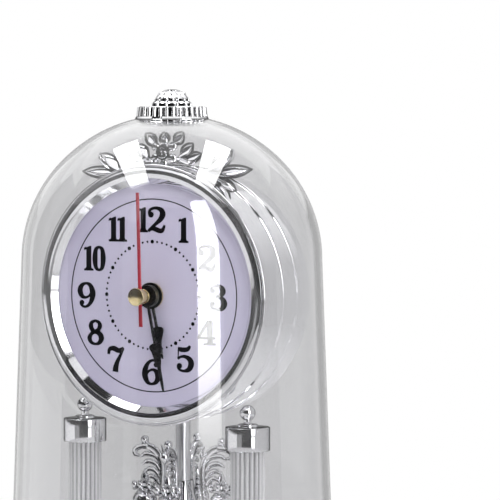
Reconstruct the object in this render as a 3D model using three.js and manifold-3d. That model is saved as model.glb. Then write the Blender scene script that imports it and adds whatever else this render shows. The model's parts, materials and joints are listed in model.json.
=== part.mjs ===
// A desk clock under a bell jar, with a turning pendulum of four leaf arms around its centre post.
// Millimetres, +Z up. The dial faces -Y, and Z = 0 is the plane of the feet, under the dome's axis.
import * as THREE from 'three';
import { mergeVertices } from 'three/addons/utils/BufferGeometryUtils.js';
import Module from 'manifold-3d';

const wasm = await Module();
wasm.setup();

// Fits between pieces
const SEAT_GAP = 0.2; // faces that rest on each other
const FIT_GAP = 0.15; // a pin in its hole
const RUN_GAP = 0.35; // a part that turns in another
const TRAIN_GAP = 0.5; // from one layer of wheels to the next
const DOME_CLEAR = 1.7; // dome to what stands in it

// Base
const DECK_Z = 28;
const DECK_T = 3.5;
const FOOT_R = 5;
const FOOT_H = 3;
const COVER_T = 2;
const BASE_WALL = 2.4;
const BASE_STEP = 11; // how far the foot of the base stands out from the dome's seat

// Post, columns
const POST_LENGTH = 91.5; // deck to drum
const POST_R = 2.45;
const POST_Y = 7;
const COLUMN_X = 31.6;
const COLUMN_Y = -5;
const COLUMN_SHAFT_R = 5.7;
const COLUMN_REEDS = 20;
const COLUMN_CAP_H = 7.8;
const COLUMN_BALL_R = 2.55;
const COLUMN_DROP = 0.5; // cap's top under the drum's lowest line

// Drum and dial
const DRUM_R = 42;
const DRUM_WALL = 2;
const DRUM_FRONT_Y = -11.9;
const DRUM_DEPTH = 30.5;
const DRUM_PLATE_T = 1.5;
const RIDGE_H = 0.5;
const BEZEL_OVER = 1.2; // bezel's edge outside the drum
const BEZEL_WIDTH = 6.5;
const BEZEL_RISE = 2.9; // bezel's ridge in front of the dial
const DIAL_T = 0.6;

// Hands, from the dial's front
const HOUR_LENGTH = 21.2;
const HOUR_ANGLE = 167.5; // degrees clockwise from 12
const MINUTE_LENGTH = 31.7;
const MINUTE_ANGLE = 168.4;
const SECOND_LENGTH = 34;
const SECOND_TAIL = 9.9;
const SECOND_ANGLE = -1.5;
const HAND_T = 0.5;
const HAND_BOSS_R = 4.4;
const HAND_STEP = 1.2; // from the dial to the hour hand's plane
const MINUTE_STEP = 2.6; // from the hour hand's plane to the minute hand's
const SECOND_OUT = 7.8; // second hand in front of the dial
const CAP_R = 2.95;
const CAP_T = 2.3;

// Dome and finial
const DOME_WALL = 2;
const DOME_DRAFT = 0.0367; // radius gained per millimetre down
const DOME_SPRING = 11.7; // spring line over the dial's centre
const SKIRT_R = 12.3;
const SKIRT_H = 3.8;
const BUD_R = 6.7;
const BUD_H = 5.6;

// Crest
const CREST_Y = -4.6;
const CREST_T = 2.4;
const CREST_SPAN = 32; // half of its width
const CREST_H = 12.4; // over the drum's top
const HORN_LIFT = 9.6; // scroll's horn over the drum
const TIP_LIFT = 9; // scroll's outer tip over the drum

// Pendulum, turned a little from the clock's own axes
const PENDULUM_TURN = 10;
const ARM_COUNT = 4;
const ARM_DROP = 5.5; // pendulum's top under the drum
const ARM_REACH = 17.9;
const ARM_ORB_X = 13.8;
const ORB_R = 4.1;
const DISC_R = 19;
const BULB_R = 2.4;
const DRIVE_TEETH = 30;
const DRIVE_PINION_TEETH = 10;
const DRIVE_MODULE = 0.8;

// Movement
const CASE_FIT = 1.4; // case's side over the drum's inner radius; a square of 1.414 would touch
const CASE_DEPTH = 16;
const CASE_WALL = 1.2;
const WHEEL_T = 1;
const WHEEL_CLEAR = 0.8; // pitch of the largest wheel to the wall under it, with room for its teeth
const SECOND_ARBOR_R = 0.8;
const TUBE_WALL = 0.65;
const ARBOR_R = 0.45;
const SETTING_ARBOR_R = 1;
const CELL_R = 7.25;
const CELL_LENGTH = 50.5;
const CELL_SLACK = 0.3; // cell to its room across
const CELL_END = 1.55; // cell's ends to the ends of its room, for the springs
const COIL_H = 5.5;
const COIL_REACH = 8; // coil's ends beyond the rotor and the dial's axis
const STATOR_CLEAR = 2.82; // stator's edge to the intermediate arbor

// Teeth of the train
const CENTRE_TEETH = 48;
const THIRD_PINION_TEETH = 6;
const THIRD_TEETH = 45;
const SECOND_PINION_TEETH = 6;
const SECOND_TEETH = 30;
const STEP_PINION_TEETH = 6;
const STEP_TEETH = 36;
const ROTOR_PINION_TEETH = 6;
const CANNON_TEETH = 8;
const MINUTE_TEETH = 24;
const MINUTE_PINION_TEETH = 6;
const HOUR_TEETH = 24;

// Levels and radii worked out from those sizes
const drumBottomZ = DECK_Z + POST_LENGTH;
const DIAL_Z = drumBottomZ + DRUM_R;
const drumBackY = DRUM_FRONT_Y + DRUM_DEPTH;
const drumInnerR = DRUM_R - DRUM_WALL;
const dialFrontY = DRUM_FRONT_Y - SEAT_GAP / 2 - DIAL_T;
const bezelR = DRUM_R + BEZEL_OVER;
const dialOpenR = bezelR - BEZEL_WIDTH;
const springZ = DIAL_Z + DOME_SPRING;
const crestTopZ = DIAL_Z + DRUM_R + CREST_H;
const domeInnerR = Math.max(Math.hypot(DRUM_R + RIDGE_H, drumBackY) + DOME_CLEAR, CREST_SPAN * 1.4);
const domeR = domeInnerR + DOME_WALL;
const domeRise = Math.max(crestTopZ - springZ + 2 * DOME_CLEAR, domeInnerR * 0.96);
const domeTopZ = springZ + domeRise + DOME_WALL;
const rimZ = DECK_Z - DECK_T / 2 + SEAT_GAP;
const rimR = domeR + (springZ - rimZ) * DOME_DRAFT;
const deckR = rimR + 2.6;
const baseR = deckR + BASE_STEP;
const coverZ = FOOT_H;
const columnTopZ = drumBottomZ - COLUMN_DROP;
const columnCapR = COLUMN_SHAFT_R + 1.6;
const armTopZ = drumBottomZ - ARM_DROP;
const pendulumH = armTopZ - DECK_Z;
const postNutZ = drumBottomZ + DRUM_WALL + SEAT_GAP;

const ROUND = 32; // sides of the large round pieces, the same for those that fit in each other
const degrees = (angle) => angle * Math.PI / 180;
const polar = (distance, angle) => [distance * Math.cos(degrees(angle)), distance * Math.sin(degrees(angle))];
const group = new THREE.Group();

// Keeps positions only, joins equal points, drops flat triangles and turns the faces outward.
function clean(geometry) {
  const bare = new THREE.BufferGeometry();
  bare.setAttribute('position', geometry.getAttribute('position'));
  if (geometry.index) bare.setIndex(geometry.index);
  const joined = mergeVertices(bare, 1e-4);
  const at = joined.getAttribute('position');
  const kept = [];
  let volume = 0;
  const corner = [new THREE.Vector3(), new THREE.Vector3(), new THREE.Vector3()];
  for (let i = 0; i < joined.index.count; i += 3) {
    const [a, b, c] = [0, 1, 2].map((k) => joined.index.getX(i + k));
    if (a === b || b === c || c === a) continue;
    [a, b, c].forEach((v, k) => corner[k].fromBufferAttribute(at, v));
    volume += corner[0].dot(corner[1].clone().cross(corner[2]));
    kept.push([a, b, c]);
  }
  joined.setIndex(kept.flatMap(([a, b, c]) => (volume > 0 ? [a, b, c] : [a, c, b])));
  return joined;
}

function solid(geometry) {
  const shape = clean(geometry);
  const mesh = new wasm.Mesh({
    numProp: 3,
    vertProperties: new Float32Array(shape.getAttribute('position').array),
    triVerts: new Uint32Array(shape.index.array),
  });
  return new wasm.Manifold(mesh);
}

function geometryOf(manifold) {
  const mesh = manifold.getMesh();
  const geometry = new THREE.BufferGeometry();
  geometry.setAttribute('position', new THREE.BufferAttribute(new Float32Array(mesh.vertProperties), 3));
  geometry.setIndex(new THREE.BufferAttribute(new Uint32Array(mesh.triVerts), 1));
  return geometry;
}

const join = (...geometries) => geometryOf(wasm.Manifold.union(geometries.map(solid)));
const cut = (body, ...tools) => geometryOf(solid(body).subtract(wasm.Manifold.union(tools.map(solid))));

// A named piece in a group; the mesh comes back, to be moved and turned to its place.
function add(parent, name, geometry, material) {
  const look = new THREE.MeshStandardMaterial(material);
  const shape = geometry.index ? clean(geometry) : geometry;
  shape.computeVertexNormals();
  const mesh = new THREE.Mesh(shape, look);
  mesh.name = name;
  parent.add(mesh);
  return mesh;
}

function groupAt(x, y, z, parent = group) {
  const placed = new THREE.Group();
  placed.position.set(x, y, z);
  parent.add(placed);
  return placed;
}
const onDial = groupAt(0, 0, DIAL_Z); // dial's centre: drum, movement, hands
const onPost = groupAt(0, POST_Y, 0); // post's axis: post, pendulum and its drive

// A profile of [radius, height] points turned about Z, open ends on the axis or closed on itself.
function turned(points, segments) {
  const profile = points.map(([r, z]) => new THREE.Vector2(r, z));
  return new THREE.LatheGeometry(profile, segments).rotateX(Math.PI / 2);
}

// The same about Y, the dial's axis, with [radius, y] points.
function turnedOnDial(points, segments) {
  const profile = points.map(([r, y]) => new THREE.Vector2(r, y));
  return new THREE.LatheGeometry(profile, segments);
}

const ring = (points) => [...points, points[0]];
const tube = (inner, outer, low, high) => ring([[inner, low], [outer, low], [outer, high], [inner, high]]);
const rod = (radius, low, high) => [[0, low], [radius, low], [radius, high], [0, high]];

// Points on an arc about (r, z), from one angle to another.
function arc(r, z, radius, from, to, steps) {
  const at = (i) => degrees(from + (to - from) * i / steps);
  const point = (_, i) => [r + radius * Math.cos(at(i)), z + radius * Math.sin(at(i))];
  return Array.from({ length: steps + 1 }, point);
}

const onAxis = (points) => points.map(([r, z]) => [Math.abs(r) < 1e-6 ? 0 : r, z]);
const ball = (radius, z, sides) => onAxis(arc(0, z, radius, -90, 90, sides));

function box(x0, x1, y0, y1, z0, z1) {
  const shape = new THREE.BoxGeometry(x1 - x0, y1 - y0, z1 - z0);
  return shape.translate((x0 + x1) / 2, (y0 + y1) / 2, (z0 + z1) / 2);
}

// An outline in the dial's plane, x to the right and z up, given thickness from y0 to y1.
function plateOnDial(outline, y0, y1) {
  const shape = new THREE.Shape(outline.map(([x, z]) => new THREE.Vector2(x, z)));
  const slab = new THREE.ExtrudeGeometry(shape, { depth: y1 - y0, bevelEnabled: false });
  return slab.rotateX(Math.PI / 2).translate(0, y1, 0);
}

// A leaf or scroll: a flattened tube along a smooth path of [x, z] points, thickest in the middle.
function leaf(path, width, thickness, steps, sides = 4) {
  const curve = new THREE.CatmullRomCurve3(path.map(([x, z]) => new THREE.Vector3(x, 0, z)));
  const position = [];
  const index = [];
  for (let i = 0; i <= steps; i += 1) {
    const t = i / steps;
    const centre = curve.getPoint(t);
    const along = curve.getTangent(t);
    const swell = 0.35 + 0.65 * Math.sin(Math.PI * t);
    for (let k = 0; k < sides; k += 1) {
      const turn = 2 * Math.PI * k / sides;
      const side = Math.cos(turn) * width / 2 * swell;
      const depth = Math.sin(turn) * thickness / 2 * swell;
      position.push(centre.x + along.z * side, depth, centre.z - along.x * side);
    }
  }
  for (let i = 0; i < steps; i += 1) {
    for (let k = 0; k < sides; k += 1) {
      const [a, b] = [i * sides + k, i * sides + (k + 1) % sides];
      index.push(a, b, a + sides, b, b + sides, a + sides);
    }
  }
  const last = steps * sides;
  for (let k = 1; k < sides - 1; k += 1) {
    index.push(0, k + 1, k);
    index.push(last, last + k, last + k + 1);
  }
  const geometry = new THREE.BufferGeometry();
  geometry.setAttribute('position', new THREE.Float32BufferAttribute(position, 3));
  geometry.setIndex(index);
  return geometry;
}

const bead = (x, z, radius) => new THREE.OctahedronGeometry(radius, 1).translate(x, 0, z);

// A toothed outline about the origin, a tooth's point at the angle phase.
// Teeth are pointed and short, for play.
function gearOutline(teeth, module, phase) {
  const pitch = teeth * module / 2;
  const root = pitch - 1.2 * module;
  const tip = pitch + 0.65 * module;
  return Array.from({ length: 2 * teeth }, (_, i) => {
    const angle = phase + Math.PI * i / teeth;
    const r = i % 2 ? root : tip;
    return [r * Math.cos(angle), r * Math.sin(angle)];
  });
}

const chrome = { color: 0xc9c9cc, roughness: 0.12, metalness: 1 };
const clearDome = { color: 0xd6d7da, roughness: 0.05, metalness: 0 };
const clearColumn = { color: 0xe6e7ea, roughness: 0.08, metalness: 0 };
const dialPaper = { color: 0xbfbbd3, roughness: 0.6, metalness: 0 };
const blackMetal = { color: 0x151417, roughness: 0.35, metalness: 0.3 };
const redMetal = { color: 0x961e32, roughness: 0.4, metalness: 0.2 };
const brass = { color: 0xc9a25a, roughness: 0.25, metalness: 1 };
const steel = { color: 0xa9abad, roughness: 0.35, metalness: 1 };
const blackPlastic = { color: 0x202022, roughness: 0.55, metalness: 0 };
const whitePlastic = { color: 0xe4e2da, roughness: 0.5, metalness: 0 };
const rubber = { color: 0x2b2b2c, roughness: 0.9, metalness: 0 };
const board = { color: 0x2f5b3a, roughness: 0.6, metalness: 0 };
const copper = { color: 0xb4653a, roughness: 0.4, metalness: 0.8 };
const cellSkin = { color: 0x4d5560, roughness: 0.45, metalness: 0.3 };

// Base: a stepped round plinth, open below and above.
const plinthTop = DECK_Z - 1.2;
const ledgeZ = DECK_Z - DECK_T - SEAT_GAP;
const plinthOuterR = deckR + SEAT_GAP + BASE_WALL;
const bandZ = DECK_Z * 0.24; // top of the foot's upright band
const coveR = BASE_STEP * 0.52;
const coveX = baseR - 2.2;
const coveLow = bandZ + 1;
const coveTop = coveLow + coveR;
const waistR = coveX - coveR;
const torusR = (ledgeZ - coveTop) * 0.27;
const plinth = [
  [baseR - 3, 1],
  [baseR - 0.8, 1],
  [baseR, 1.8],
  [baseR, bandZ],
  [baseR - 0.8, bandZ + 0.8],
  ...arc(coveX, coveTop, coveR, 270, 180, 3),
  ...arc(waistR, coveTop + 0.6 + torusR, torusR, -90, 90, 4),
  [plinthOuterR, coveTop + 1.8 + 2 * torusR],
  [plinthOuterR, plinthTop - 0.8],
  [plinthOuterR - 0.8, plinthTop],
  [deckR + SEAT_GAP, plinthTop],
  [deckR + SEAT_GAP, ledgeZ],
  [deckR - 3, ledgeZ],
  [deckR - 3, ledgeZ - BASE_WALL],
  [waistR - BASE_WALL, coveTop + 2 * torusR],
  [waistR - BASE_WALL, coveTop],
  [coveX - BASE_WALL, coveLow + 1],
  [baseR - 3, coverZ + COVER_T + SEAT_GAP],
];
add(group, 'base_plinth', turned(ring(plinth), ROUND), chrome);

// Deck: closes the plinth above, with the groove that the dome stands in and holes for what passes through.
const grooveIn = rimR - DOME_WALL - RUN_GAP - DOME_WALL * DOME_DRAFT;
const tubeR = POST_R + RUN_GAP + 1.3; // drive tube of the pendulum
const deckProfile = [
  [0, DECK_Z - DECK_T],
  [deckR, DECK_Z - DECK_T],
  [deckR, DECK_Z],
  [rimR + RUN_GAP, DECK_Z],
  [rimR + RUN_GAP, DECK_Z - DECK_T / 2],
  [grooveIn, DECK_Z - DECK_T / 2],
  [grooveIn, DECK_Z],
  [0, DECK_Z],
];
const throughDeck = (x, y, r) => turned(rod(r, DECK_Z - DECK_T - 1, DECK_Z + 1), 12).translate(x, y, 0);
const tenonR = COLUMN_SHAFT_R * 0.55;
add(group, 'base_deck', cut(
  turned(deckProfile, ROUND),
  throughDeck(0, POST_Y, tubeR + RUN_GAP),
  throughDeck(-COLUMN_X, COLUMN_Y, tenonR + FIT_GAP),
  throughDeck(COLUMN_X, COLUMN_Y, tenonR + FIT_GAP),
), chrome);

// Bottom cover, with the post's socket, the stepped opening of the battery hatch, feet and screws.
const coverR = baseR - 3 - SEAT_GAP;
const coverTop = coverZ + COVER_T;
const hatchY = -coverR * 0.5;
const hatchX = CELL_LENGTH / 2 + 3;
const hatchW = CELL_R + 2;
const hatchT = COVER_T / 2 + 0.1;
const socketTop = coverTop + 5;
const screwY = coverR * 0.72;
const screwR = 1.5;
const coverBody = join(
  turned(rod(coverR, coverZ, coverTop), ROUND),
  turned(rod(POST_R + 2.5, coverZ + 0.1, socketTop), 20).translate(0, POST_Y, 0),
);
const screwHole = (x) => turned(rod(screwR + FIT_GAP, coverZ - 1, coverTop + 1), 12).translate(x, screwY, 0);
add(group, 'bottom_cover', cut(
  coverBody,
  turned(rod(POST_R + FIT_GAP, coverTop - 0.5, socketTop + 1), 16).translate(0, POST_Y, 0),
  box(-hatchX, hatchX, hatchY - hatchW, hatchY + hatchW, coverZ - 1, coverZ + hatchT),
  box(-hatchX + 1.5, hatchX - 1.5, hatchY - hatchW + 1.5, hatchY + hatchW - 1.5, coverZ, coverTop + 1),
  screwHole(-screwY * 0.5),
  screwHole(screwY * 0.5),
), blackPlastic);
add(group, 'battery_hatch', box(
  -hatchX + RUN_GAP,
  hatchX - RUN_GAP,
  hatchY - hatchW + RUN_GAP,
  hatchY + hatchW - RUN_GAP,
  coverZ + 0.1,
  coverZ + hatchT - SEAT_GAP / 2,
), blackPlastic);
const screwProfile = [
  [0, coverZ - 1.2],
  [screwR + 1.3, coverZ - 1.2],
  [screwR + 1.3, coverZ - SEAT_GAP],
  [screwR, coverZ - SEAT_GAP],
  [screwR, coverTop + 4],
  [0, coverTop + 4],
];
[-1, 1].forEach((side, i) => {
  const screw = add(group, `cover_screw_${i + 1}`, turned(screwProfile, 12), steel);
  screw.position.set(side * screwY * 0.5, screwY, 0);
});
[45, 135, 225, 315].forEach((angle, i) => {
  const foot = add(group, `foot_${i + 1}`, turned(rod(FOOT_R, 0, coverZ - SEAT_GAP / 2), 20), rubber);
  foot.position.set(...polar(coverR - FOOT_R - 1, angle), 0);
});

// The pendulum's drive in the base: cell with contacts, motor and pinion beside the gear on the drive tube.
const cellZ = coverTop + CELL_R + 0.6;
const cell = (radius) => turned([
  [0, -CELL_LENGTH / 2],
  [radius, -CELL_LENGTH / 2],
  [radius, CELL_LENGTH / 2 - 1.3],
  [2.6, CELL_LENGTH / 2 - 1.3],
  [2.6, CELL_LENGTH / 2],
  [0, CELL_LENGTH / 2],
], 20).rotateY(Math.PI / 2);
add(group, 'drive_battery', cell(CELL_R), cellSkin).position.set(0, hatchY, cellZ);
[-1, 1].forEach((side) => {
  const name = side < 0 ? 'drive_contact_minus' : 'drive_contact_plus';
  const contact = add(group, name, box(-0.3, 0.3, -4, 4, coverTop + SEAT_GAP, cellZ + 4), steel);
  contact.position.set(side * (CELL_LENGTH / 2 + SEAT_GAP + 0.3), hatchY, 0);
});
const driveDistance = DRIVE_MODULE * (DRIVE_TEETH + DRIVE_PINION_TEETH) / 2;
const gearLow = ledgeZ - 7;
const gearHigh = gearLow + 3;
const onMotor = groupAt(driveDistance, 0, 0, onPost);
function levelGear(teeth, phase, low, high) {
  const outline = gearOutline(teeth, DRIVE_MODULE, phase);
  const shape = new THREE.Shape(outline.map(([x, y]) => new THREE.Vector2(x, y)));
  return new THREE.ExtrudeGeometry(shape, { depth: high - low, bevelEnabled: false }).translate(0, 0, low);
}
add(onPost, 'drive_gear', cut(
  levelGear(DRIVE_TEETH, 0, gearLow, gearHigh),
  turned(rod(tubeR + FIT_GAP, gearLow - 1, gearHigh + 1), 16),
), whitePlastic);
const pinionBore = 1;
const motorTop = gearLow - 1;
add(onMotor, 'drive_pinion', join(
  levelGear(DRIVE_PINION_TEETH, Math.PI + Math.PI / DRIVE_PINION_TEETH, gearLow, gearHigh),
  turned(rod(pinionBore, motorTop - 3, gearLow + 1), 12),
), whitePlastic);
const motorR = 7;
const motorProfile = ring([
  [pinionBore + RUN_GAP, coverTop + SEAT_GAP],
  [motorR, coverTop + SEAT_GAP],
  [motorR, motorTop],
  [pinionBore + RUN_GAP, motorTop],
]);
add(onMotor, 'drive_motor', turned(motorProfile, 20), steel);

// Post: from the cover's socket up to the drum, where a nut holds its end.
const spigotR = 1.5;
const postTop = drumBottomZ - RIDGE_H - SEAT_GAP;
const postProfile = [
  [0, coverTop],
  [POST_R, coverTop],
  [POST_R, postTop],
  [spigotR, postTop],
  [spigotR, postNutZ + 3],
  [0, postNutZ + 3],
];
add(onPost, 'centre_post', turned(postProfile, 20), chrome);
const nutLift = 0.3; // over the drum's curved floor
add(onPost, 'post_nut', turned(tube(spigotR + FIT_GAP, 3.4, postNutZ + nutLift, postNutZ + 2.4), 12), steel);

// Columns: base and cap hold the reeded shaft by its round tenons.
function reededShaft(low, high) {
  const outline = [];
  for (let i = 0; i < COLUMN_REEDS; i += 1) {
    [[0, 0.93], [0.5, 1]].forEach(([share, size]) => {
      const angle = 2 * Math.PI * (i + share) / COLUMN_REEDS;
      const r = COLUMN_SHAFT_R * size;
      outline.push(new THREE.Vector2(r * Math.cos(angle), r * Math.sin(angle)));
    });
  }
  const shape = new THREE.Shape(outline);
  return new THREE.ExtrudeGeometry(shape, { depth: high - low, bevelEnabled: false }).translate(0, 0, low);
}
const tenon = 3;
const columnBaseTop = DECK_Z + SEAT_GAP + COLUMN_CAP_H;
const capLow = columnTopZ - COLUMN_CAP_H;
const shaftLow = columnBaseTop + SEAT_GAP / 2;
const shaftHigh = capLow - SEAT_GAP / 2;
const columnBase = [
  [0, DECK_Z - DECK_T * 0.7],
  [tenonR, DECK_Z - DECK_T * 0.7],
  [tenonR, DECK_Z + SEAT_GAP],
  [columnCapR, DECK_Z + SEAT_GAP],
  [columnCapR, columnBaseTop - 0.7],
  [columnCapR - 0.7, columnBaseTop],
  [tenonR + FIT_GAP, columnBaseTop],
  [tenonR + FIT_GAP, columnBaseTop - tenon - SEAT_GAP],
  [0, columnBaseTop - tenon - SEAT_GAP],
];
const neckZ = columnTopZ + 1.6;
const ballZ = neckZ + COLUMN_BALL_R + 0.4;
const columnCap = [
  [0, capLow + tenon + SEAT_GAP],
  [tenonR + FIT_GAP, capLow + tenon + SEAT_GAP],
  [tenonR + FIT_GAP, capLow],
  [columnCapR - 0.4, capLow],
  [columnCapR, capLow + 0.4],
  [columnCapR, columnTopZ - 0.7],
  [columnCapR - 0.7, columnTopZ],
  [COLUMN_BALL_R + 0.3, columnTopZ],
  [COLUMN_BALL_R + 0.3, columnTopZ + 0.8],
  [COLUMN_BALL_R * 0.5, columnTopZ + 1],
  [COLUMN_BALL_R * 0.5, neckZ],
  ...onAxis(arc(0, ballZ, COLUMN_BALL_R, -60, 90, 5)),
];
[-1, 1].forEach((side) => {
  const name = side < 0 ? 'column_left' : 'column_right';
  const column = groupAt(side * COLUMN_X, COLUMN_Y, 0);
  add(column, `${name}_base`, turned(columnBase, 16), chrome);
  add(column, `${name}_shaft`, join(
    reededShaft(shaftLow, shaftHigh),
    turned(rod(tenonR, shaftLow - tenon, shaftHigh + tenon), 12),
  ), clearColumn);
  add(column, `${name}_cap`, turned(columnCap, 16), chrome);
});

// Drum case: front plate, wall with two ridges, open behind.
const bushR = SECOND_ARBOR_R + 3 * FIT_GAP + 2 * TUBE_WALL + 0.65;
const bushHoleR = bushR + FIT_GAP;
const plateBackY = DRUM_FRONT_Y + DRUM_PLATE_T;
const ridge = (y) => [[DRUM_R, y - 0.6], [DRUM_R + RIDGE_H, y], [DRUM_R, y + 0.6]];
const drumProfile = ring([
  [bushHoleR, plateBackY],
  [bushHoleR, DRUM_FRONT_Y],
  [DRUM_R, DRUM_FRONT_Y],
  ...ridge(DRUM_FRONT_Y + DRUM_DEPTH * 0.39),
  ...ridge(DRUM_FRONT_Y + DRUM_DEPTH * 0.7),
  [DRUM_R, drumBackY - 0.5],
  [DRUM_R - 0.5, drumBackY],
  [drumInnerR, drumBackY],
  [drumInnerR, plateBackY],
]);
const throughWall = (r, y, low, high) => turned(rod(r, low, high), 12).translate(0, y, 0);
const pegR = 1;
add(onDial, 'drum_case', cut(
  turnedOnDial(drumProfile, ROUND),
  throughWall(spigotR + FIT_GAP, POST_Y, -DRUM_R - 3, -drumInnerR + 2),
  throughWall(pegR + FIT_GAP, CREST_Y, drumInnerR - 2, DRUM_R + 2),
), chrome);

// Bezel and dial. The bezel slopes out to its edge and in to the dial.
const bezelRidgeR = dialOpenR + BEZEL_WIDTH * 0.46;
const bezelBackY = DRUM_FRONT_Y - SEAT_GAP / 2;
const bezelProfile = ring([
  [dialOpenR, dialFrontY - SEAT_GAP / 2],
  [bezelRidgeR - 0.5, dialFrontY - BEZEL_RISE + 0.3],
  [bezelRidgeR, dialFrontY - BEZEL_RISE],
  [bezelRidgeR + 0.5, dialFrontY - BEZEL_RISE + 0.3],
  [bezelR - 1, bezelBackY - 1.4],
  [bezelR, bezelBackY - 0.9],
  [bezelR, bezelBackY],
  [dialOpenR + 2.2, bezelBackY],
  [dialOpenR + 2.2, dialFrontY - SEAT_GAP / 2],
]);
add(onDial, 'bezel', turnedOnDial(bezelProfile, ROUND), chrome);
const dialR = dialOpenR + 1.8;
const dialTube = tube(bushHoleR, dialR, dialFrontY, dialFrontY + DIAL_T);
add(onDial, 'dial_plate', turnedOnDial(dialTube, ROUND), dialPaper);

// Crest on the drum: flower with its leaves in the middle, a scroll of leaves at either end.
function crest() {
  const onDrum = (angle, lift) => {
    const r = DRUM_R + RIDGE_H + SEAT_GAP + lift;
    return [r * Math.sin(degrees(angle)), r * Math.cos(degrees(angle))];
  };
  const flowerZ = DRUM_R + CREST_H * 0.42;
  const flowerR = CREST_H * 0.36;
  const parts = [];
  const petals = 5;
  for (let i = 0; i < petals; i += 1) {
    const angle = degrees(90 + 360 * (i + 0.5) / petals);
    const tip = [flowerR * Math.cos(angle), flowerZ + flowerR * Math.sin(angle)];
    parts.push(leaf([[0, flowerZ], [tip[0] * 0.5, (flowerZ + tip[1]) / 2], tip], 3.4, CREST_T, 3));
  }
  parts.push(bead(0, flowerZ, 2.1));
  [-25, 0, 25].forEach((lean) => {
    const [dx, dz] = [Math.sin(degrees(lean)), Math.cos(degrees(lean))];
    const reach = CREST_H * 0.58;
    parts.push(leaf([[0, flowerZ], [dx * 3.6, flowerZ + dz * 3.6], [dx * reach, flowerZ + dz * reach]],
      3.2, CREST_T, 3));
  });
  const rimSteps = 5;
  const rim = Array.from({ length: rimSteps }, (_, i) => onDrum(-34 + 68 * i / (rimSteps - 1), 1));
  parts.push(leaf(rim, 1.9, CREST_T, 10));
  const endAngle = Math.asin(CREST_SPAN / (DRUM_R + TIP_LIFT + RIDGE_H)) * 180 / Math.PI;
  [-1, 1].forEach((side) => {
    const near = (angle, lift) => onDrum(side * angle, lift);
    parts.push(leaf([near(4, 1.2), near(9, 3.4), near(13, 5.2)], 2.6, CREST_T, 3));
    const horn = [near(15, 0.8), near(22, 2), near(27, HORN_LIFT * 0.48), near(27, HORN_LIFT)];
    parts.push(leaf(horn, 3, CREST_T, 6));
    const tip = [near(20, 0.8), near(27, 2.4), near(33, TIP_LIFT * 0.56), near(endAngle, TIP_LIFT)];
    parts.push(leaf(tip, 2.8, CREST_T, 6));
    parts.push(leaf([near(22, 0.6), near(29, 1.2), near(36, 2.6), near(39, 5.4)], 2.4, CREST_T, 6));
  });
  return join(...parts);
}
const drumKeepOff = turnedOnDial(rod(DRUM_R + RIDGE_H + SEAT_GAP / 2, -CREST_T, CREST_T), 60);
const crestPeg = turned(rod(pegR, drumInnerR + 0.3, DRUM_R + CREST_H * 0.42), 10);
add(onDial, 'crest', join(cut(crest(), drumKeepOff), crestPeg), chrome).position.setY(CREST_Y);

// Movement case: bush in front, gear room and cell room open behind.
const half = drumInnerR * CASE_FIT / 2;
const caseFront = plateBackY + SEAT_GAP / 2;
const caseBack = caseFront + CASE_DEPTH;
const roomFront = caseFront + CASE_WALL;
const inner = half - CASE_WALL;
const cellRoomTop = -inner + 2 * CELL_R + CELL_SLACK;
const roomLow = cellRoomTop + CASE_WALL;
const cellRoomX = CELL_LENGTH / 2 + CELL_END;
const wheelRoom = -roomLow - WHEEL_CLEAR; // under the dial's axis; the wheels' modules follow it
const bushFrontY = dialFrontY - 0.95;
const hourTubeR = bushR - 0.65 - FIT_GAP;
const minuteTubeR = hourTubeR - TUBE_WALL - FIT_GAP;
const lidT = 1.2;
const rodOnDial = (x, z, r, y0, y1, sides = 12) => turnedOnDial(rod(r, y0, y1), sides).translate(x, 0, z);

// Where the train's arbors stand, seen from the front.
const THIRD_WAY = 150;
const STEP_WAY = 80;
const ROTOR_WAY = 0;
const MINUTE_WAY = 20;
const centreModule = wheelRoom * 0.042;
const thirdDistance = centreModule * (CENTRE_TEETH + THIRD_PINION_TEETH) / 2;
const thirdModule = 2 * thirdDistance / (THIRD_TEETH + SECOND_PINION_TEETH);
const stepModule = wheelRoom * 0.066;
const stepDistance = stepModule * (SECOND_TEETH + STEP_PINION_TEETH) / 2;
const rotorModule = wheelRoom * 0.042;
const rotorDistance = rotorModule * (STEP_TEETH + ROTOR_PINION_TEETH) / 2;
const minuteModule = wheelRoom * 0.075;
const minuteDistance = minuteModule * (CANNON_TEETH + MINUTE_TEETH) / 2;
const hourModule = 2 * minuteDistance / (HOUR_TEETH + MINUTE_PINION_TEETH);
const thirdAt = polar(thirdDistance, THIRD_WAY);
const stepAt = polar(stepDistance, STEP_WAY);
const rotorAt = polar(rotorDistance, ROTOR_WAY).map((v, k) => v + stepAt[k]);
const minuteAt = polar(minuteDistance, MINUTE_WAY);
const layer = (n) => roomFront + TRAIN_GAP + n * (WHEEL_T + TRAIN_GAP);
const lidFront = caseBack - lidT;

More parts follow.
